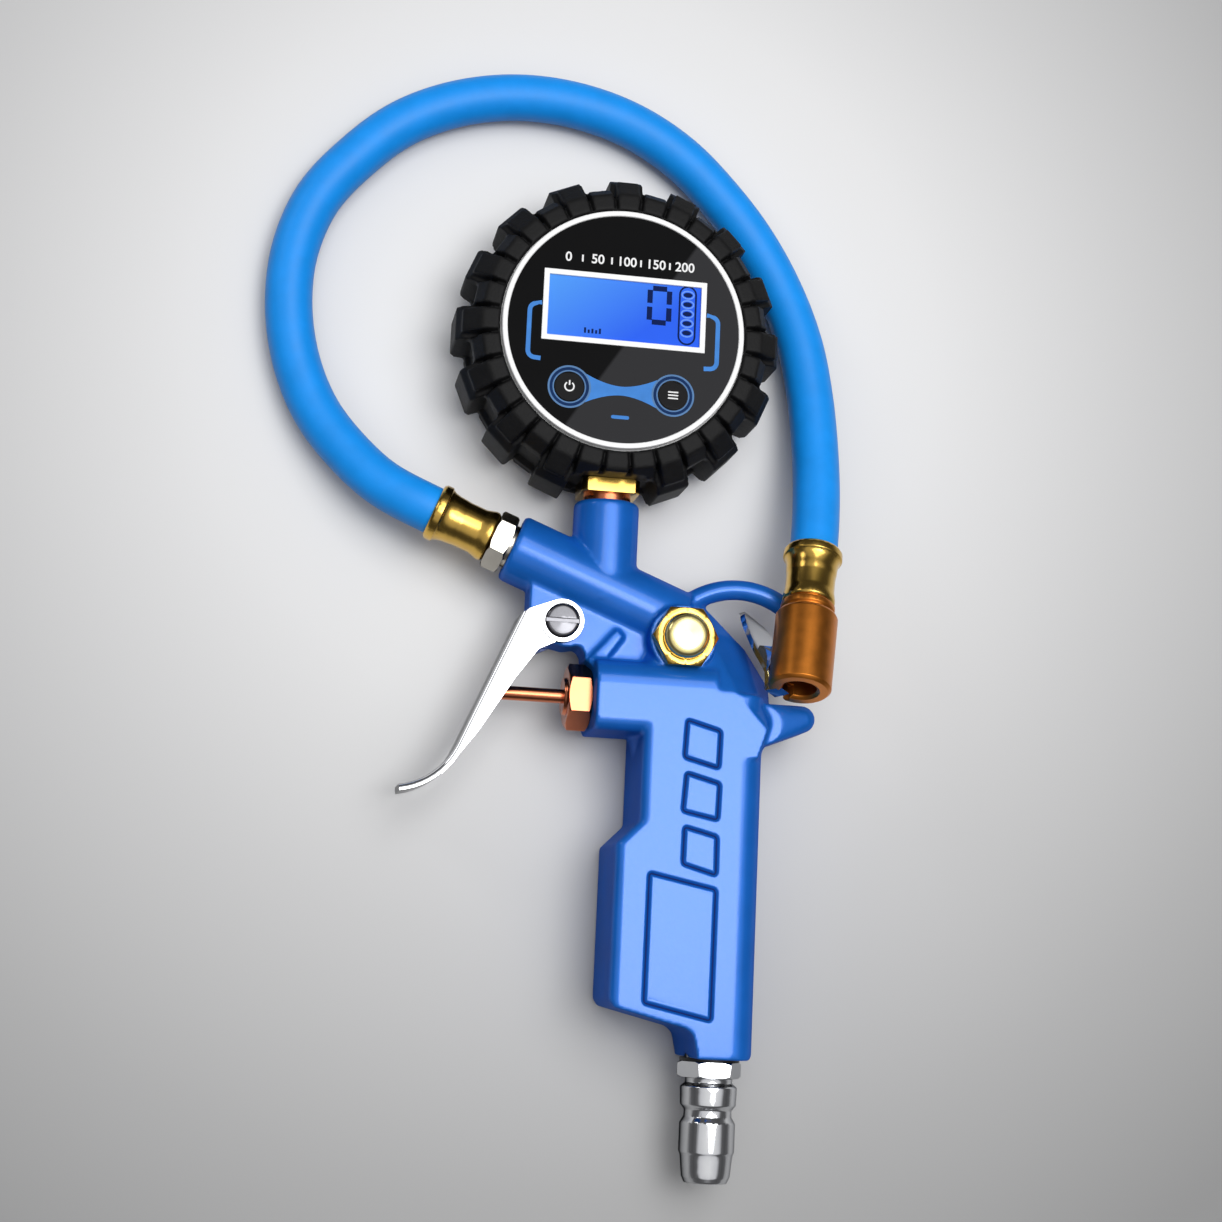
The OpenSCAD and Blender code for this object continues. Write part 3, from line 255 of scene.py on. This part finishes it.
M = {
    "blue_paint": surface("blue_paint", srgb(26, 105, 200), 0.4, metallic=0.3, shade=0.06, grain=120,
                          bump=0.00003, bump_grain=900, specular=0.02, coat=0.8, coat_rough=0.16,
                          tint=(0.03, 0.16, 0.6, 1)),
    # Dark navy for the strips in the handle's grooves: painted shade
    "groove_shade": surface("groove_shade", srgb(12, 40, 104), 0.5, shade=0.1, grain=300, specular=0.05),
    # Chrome, nickel and the steels darken on their upright faces: painted shade
    "chrome": surface("chrome", (0.86, 0.87, 0.89, 1), 0.1, 1.0, shade=0.03, grain=200,
                      rough_spread=0.03, painted_side_shade=0.2),
    "nickel": surface("nickel", srgb(205, 200, 190), 0.2, 1.0, shade=0.06, grain=400, painted_side_shade=0.3),
    "dark_steel": surface("dark_steel", srgb(104, 104, 108), 0.22, 1.0, shade=0.08, grain=500, painted_side_shade=0.4),
    "pale_brass": surface("pale_brass", srgb(246, 228, 158), 0.24, 1.0, shade=0.05, grain=250,
                          rough_spread=0.05),
    "brass": surface("brass", srgb(206, 168, 84), 0.2, 1.0, shade=0.08, grain=250, rough_spread=0.05),
    "bronze": surface("bronze", srgb(206, 126, 50), 0.36, 1.0, shade=0.1, grain=300),
    "copper": surface("copper", srgb(196, 116, 82), 0.22, 1.0, shade=0.1, grain=300),
    "black_rubber": surface("black_rubber", srgb(13, 13, 14), 0.6, shade=0.3, grain=500,
                            bump=0.00008, bump_grain=1800, specular=0.22),
    "seal_rubber": surface("seal_rubber", srgb(24, 24, 25), 0.5, shade=0.2, grain=600),
    "hose_blue": surface("hose_blue", srgb(16, 150, 246), 0.46, shade=0.05, grain=150,
                         bump=0.00002, bump_grain=700, specular=0.35),
    "case_plastic": surface("case_plastic", srgb(42, 42, 44), 0.55, shade=0.15, grain=700, bump=0.00003),
    "white_plastic": surface("white_plastic", srgb(246, 246, 246), 0.3, shade=0.02, grain=300),
    "face_black": surface("face_black", srgb(12, 12, 13), 0.2, shade=0.1, grain=80, specular=0.02),
    "display_blue": surface("display_blue", srgb(46, 100, 240), 0.4, shade=0.03, grain=60, specular=0.03),
    "display_dark": surface("display_dark", srgb(8, 30, 84), 0.4, shade=0.05, grain=60, specular=0.03),
    "display_pale": surface("display_pale", srgb(112, 160, 250), 0.4, shade=0.05, grain=60, specular=0.03),
    "print_blue": surface("print_blue", srgb(72, 136, 214), 0.4, shade=0.08, grain=300, specular=0.03),
    "print_ring": surface("print_ring", srgb(92, 130, 176), 0.4, shade=0.08, grain=300, specular=0.03),
    "print_deep": surface("print_deep", srgb(20, 48, 92), 0.4, shade=0.08, grain=300, specular=0.03),
    "print_white": surface("print_white", srgb(240, 240, 240), 0.4, shade=0.02, grain=300, specular=0.1),
    "board_green": surface("board_green", srgb(28, 104, 58), 0.45, shade=0.12, grain=500),
    "key_black": surface("key_black", srgb(16, 16, 18), 0.3, shade=0.15, grain=400, specular=0.06),
    "cell_wrap": surface("cell_wrap", srgb(190, 146, 62), 0.35, 0.6, shade=0.1, grain=200),
    "steel": surface("steel", srgb(186, 186, 188), 0.26, 1.0, shade=0.08, grain=500, painted_side_shade=0.3),
}


def paint_light_past_line(mat, colour, origin, toward, soft):
    """Paints light into a material: a second colour past a line through origin, over a width of 2 * soft
    mm.
    """
    tree = M[mat].node_tree
    new, link = tree.nodes.new, tree.links.new
    base = tree.nodes["Principled BSDF"].inputs["Base Color"]
    first = base.links[0].from_socket
    place = new("ShaderNodeNewGeometry")
    shift = new("ShaderNodeVectorMath")
    shift.operation = "SUBTRACT"
    shift.inputs[1].default_value = origin
    along = new("ShaderNodeVectorMath")
    along.operation = "DOT_PRODUCT"
    along.inputs[1].default_value = Vector(toward).normalized()
    step = new("ShaderNodeMapRange")
    step.inputs["From Min"].default_value = -soft * MM
    step.inputs["From Max"].default_value = soft * MM
    blend = new("ShaderNodeMix")
    blend.data_type = "RGBA"
    blend.inputs[7].default_value = colour
    link(place.outputs["Position"], shift.inputs[0])
    link(shift.outputs["Vector"], along.inputs[0])
    link(along.outputs["Value"], step.inputs["Value"])
    link(step.outputs["Result"], blend.inputs["Factor"])
    link(first, blend.inputs[6])
    link(blend.outputs[2], base)


# Painted reflection: the glass is lighter to the right of a slanting line. Painted glow: the display is
# lighter towards its upper left corner
GLARE_AT, GLARE_TOWARD, GLARE_SOFT = (0.0, -4.6), (0.8415, -0.5403, 0), 0.4
GLOW_AT, GLOW_TOWARD, GLOW_SOFT = (-6, 8), (-0.6, 0.8, 0), 13
paint_light_past_line("face_black", srgb(50, 50, 52), on_gauge(*GLARE_AT), GLARE_TOWARD, GLARE_SOFT)
paint_light_past_line("display_blue", srgb(86, 160, 246), on_gauge(*GLOW_AT), GLOW_TOWARD, GLOW_SOFT)


def paint(obj, mat):
    obj.data.materials.clear()
    obj.data.materials.append(M[mat])


def round_edges(obj, width, angle=32):
    """Small rounds on the sharp edges of a solid."""
    weld = obj.modifiers.new("weld", "WELD")
    weld.merge_threshold = 1e-6
    bevel = obj.modifiers.new("bevel", "BEVEL")
    bevel.width = width * MM
    bevel.segments = 2
    bevel.limit_method = "ANGLE"
    bevel.angle_limit = math.radians(angle)
    bevel.harden_normals = False
    bevel.use_clamp_overlap = True
    normal = obj.modifiers.new("normal", "WEIGHTED_NORMAL")
    normal.keep_sharp = False


SUBPARTS = {s["node"]: s["material_slot"] for s in frame["record"]["subparts"]}
SUBPARTS["bleed_button"] = "pale_brass"
SUBPARTS["pivot_screw"] = "dark_steel"
EDGE = {  # rounding of a node's edges, mm
    "inlet_nipple": 0.25, "gland_nut": 0.3, "trigger_lever": 0.35, "pivot_screw": 0.2, "bleed_nut": 0.3,
    "bleed_button": 0.4, "gauge_stem": 0.3, "gauge_bezel": 0.3, "display_frame": 0.15, "union_nut": 0.25,
    "hose_ferrule_gun": 0.2, "hose_ferrule_chuck": 0.2, "chuck_body": 0.2, "clip_lever": 0.25,
    "power_key": 0.3, "mode_key": 0.3, "battery_cover": 0.2,
}
for node_name, node_obj in nodes.items():
    paint(node_obj, SUBPARTS[node_name])
    if node_name in EDGE:
        round_edges(node_obj, EDGE[node_name])
hose.data.materials.append(M["hose_blue"])


# ---------- pieces that stand for cast and moulded nodes ----------

def add_mesh(name, bm, mat, body="gun", smooth=False):
    """Piece of the scene's own, on a body, made from a bmesh that it frees."""
    mesh = bpy.data.meshes.new(name)
    bm.to_mesh(mesh)
    bm.free()
    if smooth:
        mesh.shade_smooth()
    obj = bpy.data.objects.new(name, mesh)
    scene.collection.objects.link(obj)
    paint(obj, mat)
    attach(obj, body)
    return obj


def moulded(name, node, mat, voxel, rounds, after=None, before=None):
    """Copy of a node's solid with its edges rounded as a casting's or a moulding's are."""
    src = nodes[node]
    bm = bmesh.new()
    bm.from_mesh(src.data)
    if before:
        before(bm)
    bmesh.ops.remove_doubles(bm, verts=bm.verts, dist=1e-7)
    mesh = bpy.data.meshes.new(name)
    bm.to_mesh(mesh)
    bm.free()
    obj = bpy.data.objects.new(name, mesh)
    scene.collection.objects.link(obj)
    remesh = obj.modifiers.new("remesh", "REMESH")
    remesh.mode = "VOXEL"
    remesh.voxel_size = voxel * MM
    smooth = obj.modifiers.new("smooth", "SMOOTH")
    smooth.factor = 0.5
    smooth.iterations = rounds
    done = evaluated_mesh(obj)
    bpy.data.objects.remove(obj)
    bm = bmesh.new()
    bm.from_mesh(done)
    bpy.data.meshes.remove(done)
    if after:
        after(bm)
    out = add_mesh(name, bm, mat, smooth=True)
    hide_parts(node)


PANELS = [  # corners of the four outlines on the front of the handle
    [(17.9, -37.6), (26.6, -39.8), (26.8, -30.6), (18.3, -28.3)],
    [(18.0, -50.9), (26.8, -52.6), (27.0, -43.7), (18.6, -41.5)],
    [(18.5, -63.9), (26.9, -66.2), (26.8, -56.8), (18.6, -54.8)],
    [(10.2, -97.9), (26.9, -101.5), (27.0, -69.8), (10.3, -66.5)],
]
PANEL_Z = 29.0  # height of that front
PANEL_R = 0.9  # rounding of the corners
GROOVE_DEPTH, GROOVE_WIDTH, GROOVE_REACH = 0.75, 0.42, 1.2  # reach to each side of the outline
GROOVE_LOW = PANEL_Z - 0.9  # lowest height of what a groove is cut into
GROOVE_SHADE_WIDTH, GROOVE_SHADE_LOW, GROOVE_SHADE_HIGH = 0.36, PANEL_Z - 0.85, PANEL_Z - 0.55  # painted shade: dark strip on a groove's floor, where the groove's shade falls


def rounded(points, r, n=4):
    """Closed outline with its corners rounded by about r."""
    out = []
    for i, p in enumerate(points):
        a, b, c = Vector(points[i - 1]), Vector(p), Vector(points[(i + 1) % len(points)])
        u, v = (a - b).normalized() * r, (c - b).normalized() * r
        for k in range(n + 1):
            t = k / n
            out.append(tuple((1 - t) ** 2 * (b + u) + 2 * t * (1 - t) * b + t * t * (b + v)))
    return out


def line_distance(p, outline):
    """Distance from a point to a closed outline."""
    best = 1e9
    for i, a in enumerate(outline):
        b = outline[(i + 1) % len(outline)]
        ax, ay = a[0], a[1]
        dx, dy = b[0] - ax, b[1] - ay
        t = max(0.0, min(1.0, ((p[0] - ax) * dx + (p[1] - ay) * dy) / (dx * dx + dy * dy + 1e-12)))
        best = min(best, math.hypot(p[0] - ax - t * dx, p[1] - ay - t * dy))
    return best


def ribbon(name, points, width, z0, z1, mat, closed=False, place=gun, body="gun"):
    """Flat strip of even width along points, from z0 to z1."""
    bm = bmesh.new()
    pts = [Vector(p) for p in points]
    n = len(pts)
    rows = []
    for i, p in enumerate(pts):
        a = pts[i - 1] if (i > 0 or closed) else p
        b = pts[(i + 1) % n] if (i < n - 1 or closed) else p
        u, v = (p - a), (b - p)
        still = Vector((0, 0))
        t = (u.normalized() if u.length else still) + (v.normalized() if v.length else still)
        t.normalize()
        side = Vector((-t.y, t.x)) * width / 2
        corners = ((-1, z0), (1, z0), (1, z1), (-1, z1))
        rows.append([bm.verts.new(place(*(p + s * side), z)) for s, z in corners])
    for i in range(n if closed else n - 1):
        a, b = rows[i], rows[(i + 1) % n]
        for k in range(4):
            bm.faces.new((a[k], a[(k + 1) % 4], b[(k + 1) % 4], b[k]))
    if not closed:
        bm.faces.new(rows[0])
        bm.faces.new(rows[-1][::-1])
    bmesh.ops.recalc_face_normals(bm, faces=bm.faces)
    add_mesh(name, bm, mat, body)


def engrave(bm):
    """Cuts the four outlines into the front of the handle."""
    outlines = [rounded(p, PANEL_R) for p in PANELS]
    room, front = 1.5, PANEL_Z - 1.5
    boxes = [(min(q[0] for q in o) - room, min(q[1] for q in o) - room, max(q[0] for q in o) + room,
              max(q[1] for q in o) + room) for o in outlines]

    def away(co):
        """Distance to the nearest outline, where one is near."""
        x, y = co.x / MM + ROW_X, co.y / MM + ROW_Y
        best = 1e9
        for o, b in zip(outlines, boxes):
            if b[0] < x < b[2] and b[1] < y < b[3]:
                best = min(best, line_distance((x, y), o))
        return best

    for reach in (1.6, 1.0):
        near = [f for f in bm.faces if f.normal.z > 0.5 and f.calc_center_median().z > front * MM
                and away(f.calc_center_median()) < reach]
        edges = list({e for f in near for e in f.edges})
        bmesh.ops.subdivide_edges(bm, edges=edges, cuts=1, use_grid_fill=True)
    for v in bm.verts:
        if v.co.z > GROOVE_LOW * MM and v.normal.z > 0.3:
            d = away(v.co)
            if d < GROOVE_REACH:
                v.co.z = (PANEL_Z - GROOVE_DEPTH * math.exp(-(d / GROOVE_WIDTH) ** 2)) * MM


# Painted shade: a dark strip along the floor of each groove
for i, outline in enumerate(PANELS):
    ribbon(f"groove_{i}", rounded(outline, PANEL_R), GROOVE_SHADE_WIDTH, GROOVE_SHADE_LOW, GROOVE_SHADE_HIGH, "groove_shade", True)


BLOCK_PITCH = math.radians(360 / 32)  # 32 blocks round the boot
BLOCK_R = (31.9, 40)  # from the bezel to past the blocks
BLOCK_LOW = 26.5  # lowest height that a gap is sunk at
BLOCK_GAP, BLOCK_GAP_DEPTH = 0.42, 1.3


def cut_tread(bm):
    """Sinks the narrow gaps between the blocks round the bezel."""
    def sink(co):
        x, y = co.x / MM + ROW_X - GAUGE_X, co.y / MM + ROW_Y - GAUGE_Y
        r = math.hypot(x, y)
        if co.z < BLOCK_LOW * MM or not BLOCK_R[0] < r < BLOCK_R[1]:
            return 0.0
        off = (math.atan2(y, x) - math.pi / 2) % BLOCK_PITCH - BLOCK_PITCH / 2
        return math.exp(-(off * r / BLOCK_GAP) ** 2)

    near = [f for f in bm.faces if f.normal.z > 0.3 and sink(f.calc_center_median()) > 0.02]
    edges = list({e for f in near for e in f.edges})
    bmesh.ops.subdivide_edges(bm, edges=edges, cuts=1, use_grid_fill=True)
    for v in bm.verts:
        if v.normal.z > 0.2:
            v.co.z -= BLOCK_GAP_DEPTH * MM * sink(v.co)


INLET = (30.0, -110.8, 14.5)  # middle of the inlet, at the end of the handle, mm
CORE_LOW, CORE_HIGH = (-5.7, 0.25, -6.5), (6, 6, 6.5)  # corners of the core, from there


def fill_inlet(bm):
    """Core in the inlet's bore, round the plug's thread, so that its thin wall stays whole when rounded."""
    low, high = (gun(*(a + b for a, b in zip(INLET, corner))) for corner in (CORE_LOW, CORE_HIGH))
    size = Matrix.Diagonal((*(high - low), 1.0))
    bmesh.ops.create_cube(bm, size=1.0, matrix=Matrix.Translation((low + high) / 2) @ size)


CASTING_VOXEL, CASTING_ROUNDS = 0.5, 5
BOOT_VOXEL, BOOT_ROUNDS = 0.45, 3
moulded("casting_body", "body_casting", "blue_paint", CASTING_VOXEL, CASTING_ROUNDS, engrave, fill_inlet)


PIVOT = (-13.5, -4.7)  # the lever's pivot
PAD_LEAN = math.radians(23.1)
PAD_DIST, PAD_END, LIP_R = 10.04, 39.6, 17.7  # pad's outer face from the pivot, its end, its lip's radius
LEVER_ENDS = (8.1, 22.9)  # lowest and highest face of the lever, mm
LEVER_BEND = 1.3


def pad_place(co):
    """Place of a point along the lever's pad and out from the pivot, in mm."""
    x, y = co.x / MM + ROW_X - PIVOT[0], co.y / MM + ROW_Y - PIVOT[1]
    sin, cos = math.sin(PAD_LEAN), math.cos(PAD_LEAN)
    return -x * sin - y * cos, -x * cos + y * sin


def lever_channel():
    """The lever with the bends between its pad and its walls rounded, as in bent sheet metal."""
    bm = bmesh.new()
    bm.from_mesh(nodes["trigger_lever"].data)
    bmesh.ops.remove_doubles(bm, verts=bm.verts, dist=1e-6)
    bmesh.ops.dissolve_limit(bm, angle_limit=math.radians(0.5), verts=bm.verts, edges=bm.edges)

    def outer(v):
        s, d = pad_place(v.co)
        on_end = min(abs(v.co.z / MM - z) for z in LEVER_ENDS) < 0.02
        if s < PAD_END + 0.1:
            return on_end and abs(d - PAD_DIST) < 0.05
        return on_end and abs(math.hypot(s - PAD_END, d - PAD_DIST - LIP_R) - LIP_R) < 0.05

    bends = [e for e in bm.edges if outer(e.verts[0]) and outer(e.verts[1])
             and abs(e.verts[0].co.z - e.verts[1].co.z) < 0.02 * MM]
    bmesh.ops.bevel(bm, geom=bends, offset=LEVER_BEND * MM, offset_type="OFFSET", segments=5,
                    profile=0.5, affect="EDGES", clamp_overlap=False)
    obj = add_mesh("lever_channel", bm, "chrome", "lever", smooth=True)
    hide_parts("trigger_lever")
    round_edges(obj, EDGE["trigger_lever"])


def soft_spring(name, node):
    """Copy of a coil spring's node, with a mesh of its own, in its place."""
    bm = bmesh.new()
    bm.from_mesh(nodes[node].data)
    obj = add_mesh(name, bm, "steel", smooth=True)
    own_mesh(obj)
    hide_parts(node)


lever_channel()
soft_spring("valve_spring_coil", "valve_spring")
soft_spring("bleed_spring_coil", "bleed_spring")
moulded("tread_boot", "gauge_boot", "black_rubber", BOOT_VOXEL, BOOT_ROUNDS, cut_tread)


# ---------- gauge face ----------

def face_ribbon(name, points, width, mat, closed=False, z=FACE_Z, body="gun"):
    """Printed line on the gauge's face."""
    ribbon(name, points, width, z - 0.02, z + 0.05, mat, closed, on_gauge, body)


def face_plate(name, outline, mat, z=FACE_Z):
    """Printed patch on the gauge's face."""
    bm = bmesh.new()
    low = [bm.verts.new(on_gauge(x, y, z - 0.02)) for x, y in outline]
    high = [bm.verts.new(on_gauge(x, y, z + 0.04)) for x, y in outline]
    bm.faces.new(low[::-1])
    bm.faces.new(high)
    for i in range(len(low)):
        j = (i + 1) % len(low)
        bm.faces.new((low[i], low[j], high[j], high[i]))
    bmesh.ops.recalc_face_normals(bm, faces=bm.faces)
    add_mesh(name, bm, mat)


def circle(x, y, r, n=48, a0=0.0, a1=360.0):
    """Points of a circle, or of an arc from a0 to a1 in degrees."""
    steps = n if abs(a1 - a0) >= 360 else n + 1
    angles = [math.radians(a0 + (a1 - a0) * i / n) for i in range(steps)]
    return [(x + r * math.cos(a), y + r * math.sin(a)) for a in angles]


def ellipse(x, y, a, b, n=28):
    turns = [2 * math.pi * i / n for i in range(n)]
    return [(x + a * math.cos(t), y + b * math.sin(t)) for t in turns]


def pill(x, y, w, h):
    """Upright outline with round ends."""
    r = w / 2
    return circle(x, y + h / 2 - r, r, 12, 0, 180) + circle(x, y - h / 2 + r, r, 12, 180, 360)


def pill_flat(x, y, w, h):
    """Lying outline with round ends."""
    r = h / 2
    return circle(x + w / 2 - r, y, r, 8, -90, 90) + circle(x - w / 2 + r, y, r, 8, 90, 270)


KEYS = {"power": (-13.25, -16.2), "mode": (13.25, -16.2)}
KEY_RINGS = [("outer", 5.25, 0.5, "print_ring"), ("middle", 4.65, 0.75, "print_deep"),
             ("inner", 4.1, 0.35, "print_ring")]  # name, radius, width, material


def brackets():
    """Brackets left and right of the display."""
    r, width = 1.8, 1.15
    face_ribbon("bracket_left", [(-21.2, 5.0), (-22.6, 4.8)] + circle(-22.4, 2.9, r, 6, 95, 180)
                + circle(-22.4, -7.6, r, 6, 180, 265) + [(-20.9, -9.5)], width, "print_blue")
    face_ribbon("bracket_right", [(21.2, 5.6), (22.6, 5.4)] + circle(22.4, 3.5, r, 6, 85, 0)
                + circle(22.4, -6.6, r, 6, 0, -85) + [(20.9, -8.5)], width, "print_blue")


def key_prints():
    """Waisted band that joins the two keys, the rings round each and the dash below them."""
    (x0, y), (x1, _) = KEYS.values()
    inset, waist, flare, steps = 4.2, 1.15, 2.5, 24
    upper, lower = [], []
    for i in range(steps + 1):
        t = i / steps
        x = x0 + inset + (x1 - x0 - 2 * inset) * t
        half = waist + flare * abs(2 * t - 1) ** 1.8
        upper.append((x, y + half))
        lower.append((x, y - half))
    face_plate("key_band", upper + lower[::-1], "print_blue")
    for side, (x, y) in KEYS.items():
        for ring, r, width, mat in KEY_RINGS:
            face_ribbon(f"{side}_ring_{ring}", circle(x, y, r), width, mat, True)
    face_plate("dash_mark", pill_flat(0.0, -23.0, 4.6, 0.9), "print_blue")


def display_marks():
    """A plain nought, a level mark and a row of ticks on the display."""
    x0, x1, y0, y1 = 6.4, 11.4, 2.7, 11.6
    ym = (y0 + y1) / 2
    bars = {
        "top": [(x0 + 0.7, y1), (x1 - 0.7, y1)], "bottom": [(x0 + 0.7, y0), (x1 - 0.7, y0)],
        "left_high": [(x0, y1 - 0.5), (x0, ym + 0.5)], "left_low": [(x0, ym - 0.5), (x0, y0 + 0.5)],
        "right_high": [(x1, y1 - 0.5), (x1, ym + 0.5)], "right_low": [(x1, ym - 0.5), (x1, y0 + 0.5)],
    }
    for bar, points in bars.items():
        face_ribbon(f"digit_{bar}", points, 1.35, "display_dark", z=LCD_Z)
    face_ribbon("level_outline", pill(16.2, 5.2, 4.2, 15.2), 0.45, "display_dark", True, z=LCD_Z)
    for i in range(5):
        y = 10.6 - i * 2.5
        face_ribbon(f"level_rim_{i}", ellipse(16.2, y, 1.55, 1.0), 0.35, "display_pale", True, z=LCD_Z)
        face_plate(f"level_mark_{i}", ellipse(16.2, y, 1.15, 0.62), "display_dark", z=LCD_Z)
    for i, height in enumerate((1.4, 0.9, 1.2, 0.9, 1.4)):
        x, y = -9.9 + i * 0.95, -1.75
        face_ribbon(f"unit_tick_{i}", [(x, y), (x, y + height)], 0.5, "display_dark", z=LCD_Z)


def numerals(name, text, x, y, size, mat):
    """Plain numerals, as on a dial."""
    data = bpy.data.curves.new(name, "FONT")
    data.body = text
    data.size = size * MM
    data.align_x = "CENTER"
    data.align_y = "CENTER"
    data.extrude = 0.03 * MM
    data.offset = 0.06 * MM
    obj = bpy.data.objects.new(name, data)
    scene.collection.objects.link(obj)
    obj.location = on_gauge(x, y, FACE_Z + 0.02)
    mesh = evaluated_mesh(obj)
    mesh.transform(obj.matrix_world)
    bpy.data.objects.remove(obj)
    bm = bmesh.new()
    bm.from_mesh(mesh)
    bpy.data.meshes.remove(mesh)
    add_mesh(name, bm, mat)


def scale():
    """Row of numerals above the display, with a tick between each two."""
    pitch = 7.5
    for i, text in enumerate(("0", "50", "100", "150", "200")):
        numerals(f"scale_{text}", text, -15.0 + pitch * i, 17.6, 3.4, "print_white")
    for i in range(4):
        x = -11.4 + pitch * i
        face_ribbon(f"scale_tick_{i}", [(x, 16.7), (x, 18.5)], 0.45, "print_white")


def key_signs():
    """Plain signs on the two keys, which ride on them."""
    top = FACE_Z + 0.3
    x, y = KEYS["power"]
    face_ribbon("power_sign_ring", circle(x, y, 1.15, 20, 125, 415), 0.38, "print_white",
                z=top, body="power")
    face_ribbon("power_sign_bar", [(x, y + 0.35), (x, y + 1.6)], 0.4, "print_white", z=top, body="power")
    x, y = KEYS["mode"]
    for i in range(3):
        line = y + 0.8 * (i - 1)
        face_ribbon(f"mode_sign_{i}", [(x - 1.3, line), (x + 1.3, line)], 0.36, "print_white",
                    z=top, body="mode")


brackets()
key_prints()
display_marks()
scale()
key_signs()


# ---------- floor, world and lights ----------

FLOOR_SIZE, FLOOR_DROP = 2.5, 0.0002  # metres
FLOOR_CENTRE = gun(-12, 74)  # its lightest place
FLOOR_BOUNCE = 148  # its tone for light that it throws back
# Its painted tone by distance from that place, in metres: a painted pool of light
FLOOR_TONES = [(0.05, 240), (0.1, 231), (0.16, 206), (0.22, 179), (0.28, 152)]


def grey(tone):
    return srgb(tone, tone, tone)


def add_floor():
    """Pale floor with a painted pool of light, growing darker away from the part."""
    bm = bmesh.new()
    bmesh.ops.create_grid(bm, x_segments=4, y_segments=4, size=FLOOR_SIZE)
    mesh = bpy.data.meshes.new("floor")
    bm.to_mesh(mesh)
    bm.free()
    obj = bpy.data.objects.new("floor", mesh)
    scene.collection.objects.link(obj)
    obj.location.z = -FLOOR_DROP
    mat = bpy.data.materials.new("floor")
    mat.use_nodes = True
    tree = mat.node_tree
    new, link = tree.nodes.new, tree.links.new
    shader = tree.nodes["Principled BSDF"]
    shader.inputs["Roughness"].default_value = 0.9
    shader.inputs["Specular IOR Level"].default_value = 0.1
    place = new("ShaderNodeTexCoord")
    shift = new("ShaderNodeVectorMath")
    shift.operation = "SUBTRACT"
    shift.inputs[1].default_value = FLOOR_CENTRE
    dist = new("ShaderNodeVectorMath")
    dist.operation = "LENGTH"
    ramp = new("ShaderNodeValToRGB")
    stops = ramp.color_ramp.elements
    for stop, (radius, tone) in zip(stops, (FLOOR_TONES[0], FLOOR_TONES[-1])):
        stop.position, stop.color = radius, grey(tone)
    for radius, tone in FLOOR_TONES[1:-1]:
        stops.new(radius).color = grey(tone)
    link(place.outputs["Object"], shift.inputs[0])
    link(shift.outputs["Vector"], dist.inputs[0])
    link(dist.outputs["Value"], ramp.inputs["Fac"])
    # Less of the floor's light goes back up onto the sides of the object than the eye sees in it
    path = new("ShaderNodeLightPath")
    bounce = new("ShaderNodeMix")
    bounce.data_type = "RGBA"
    link(path.outputs["Is Diffuse Ray"], bounce.inputs["Factor"])
    link(ramp.outputs["Color"], bounce.inputs[6])
    bounce.inputs[7].default_value = grey(FLOOR_BOUNCE)
    link(bounce.outputs[2], shader.inputs["Base Color"])
    mesh.materials.append(mat)


# Level of the studio by height, from the horizon to overhead
WORLD_LEVELS = ((0.1, 0.1), (0.35, 0.07), (0.58, 0.1), (0.74, 0.55))
WORLD_LOW, WORLD_HIGH = (0.22, 0.22, 0.23, 1), (0.75, 0.75, 0.75, 1)


def add_world():
    """Dark studio with a light ceiling."""
    world = bpy.data.worlds.new("studio")
    scene.world = world
    world.use_nodes = True
    tree = world.node_tree
    new, link = tree.nodes.new, tree.links.new
    background = tree.nodes["Background"]
    place = new("ShaderNodeTexCoord")
    split = new("ShaderNodeSeparateXYZ")
    ramp = new("ShaderNodeValToRGB")
    stops = ramp.color_ramp.elements
    stops[0].position, stops[0].color = 0.0, WORLD_LOW
    stops[1].position, stops[1].color = 1.0, WORLD_HIGH
    for height, level in WORLD_LEVELS:
        stops.new(height).color = (level, level, level * 1.03, 1)
    link(place.outputs["Generated"], split.inputs[0])
    link(split.outputs["Z"], ramp.inputs["Fac"])
    link(ramp.outputs["Color"], background.inputs["Color"])
    background.inputs["Strength"].default_value = 1.0


def add_light(name, at, size, power):
    """Soft light at a place, aimed at the part."""
    data = bpy.data.lights.new(name, "AREA")
    data.shape = "RECTANGLE"
    data.size, data.size_y = size
    data.energy = power
    obj = bpy.data.objects.new(name, data)
    scene.collection.objects.link(obj)
    obj.location = at
    obj.rotation_euler = (-Vector(at)).to_track_quat("-Z", "Y").to_euler()


add_floor()
add_world()
add_light("key", (0.19, 0.20, 1.17), (0.9, 0.9), 6.9)
add_light("core", (0.24, 0.03, 1.13), (0.36, 0.46), 2.4)
add_light("fill", (-0.8, 0.6, 0.5), (0.3, 0.3), 0.8)

bpy.context.view_layer.update()
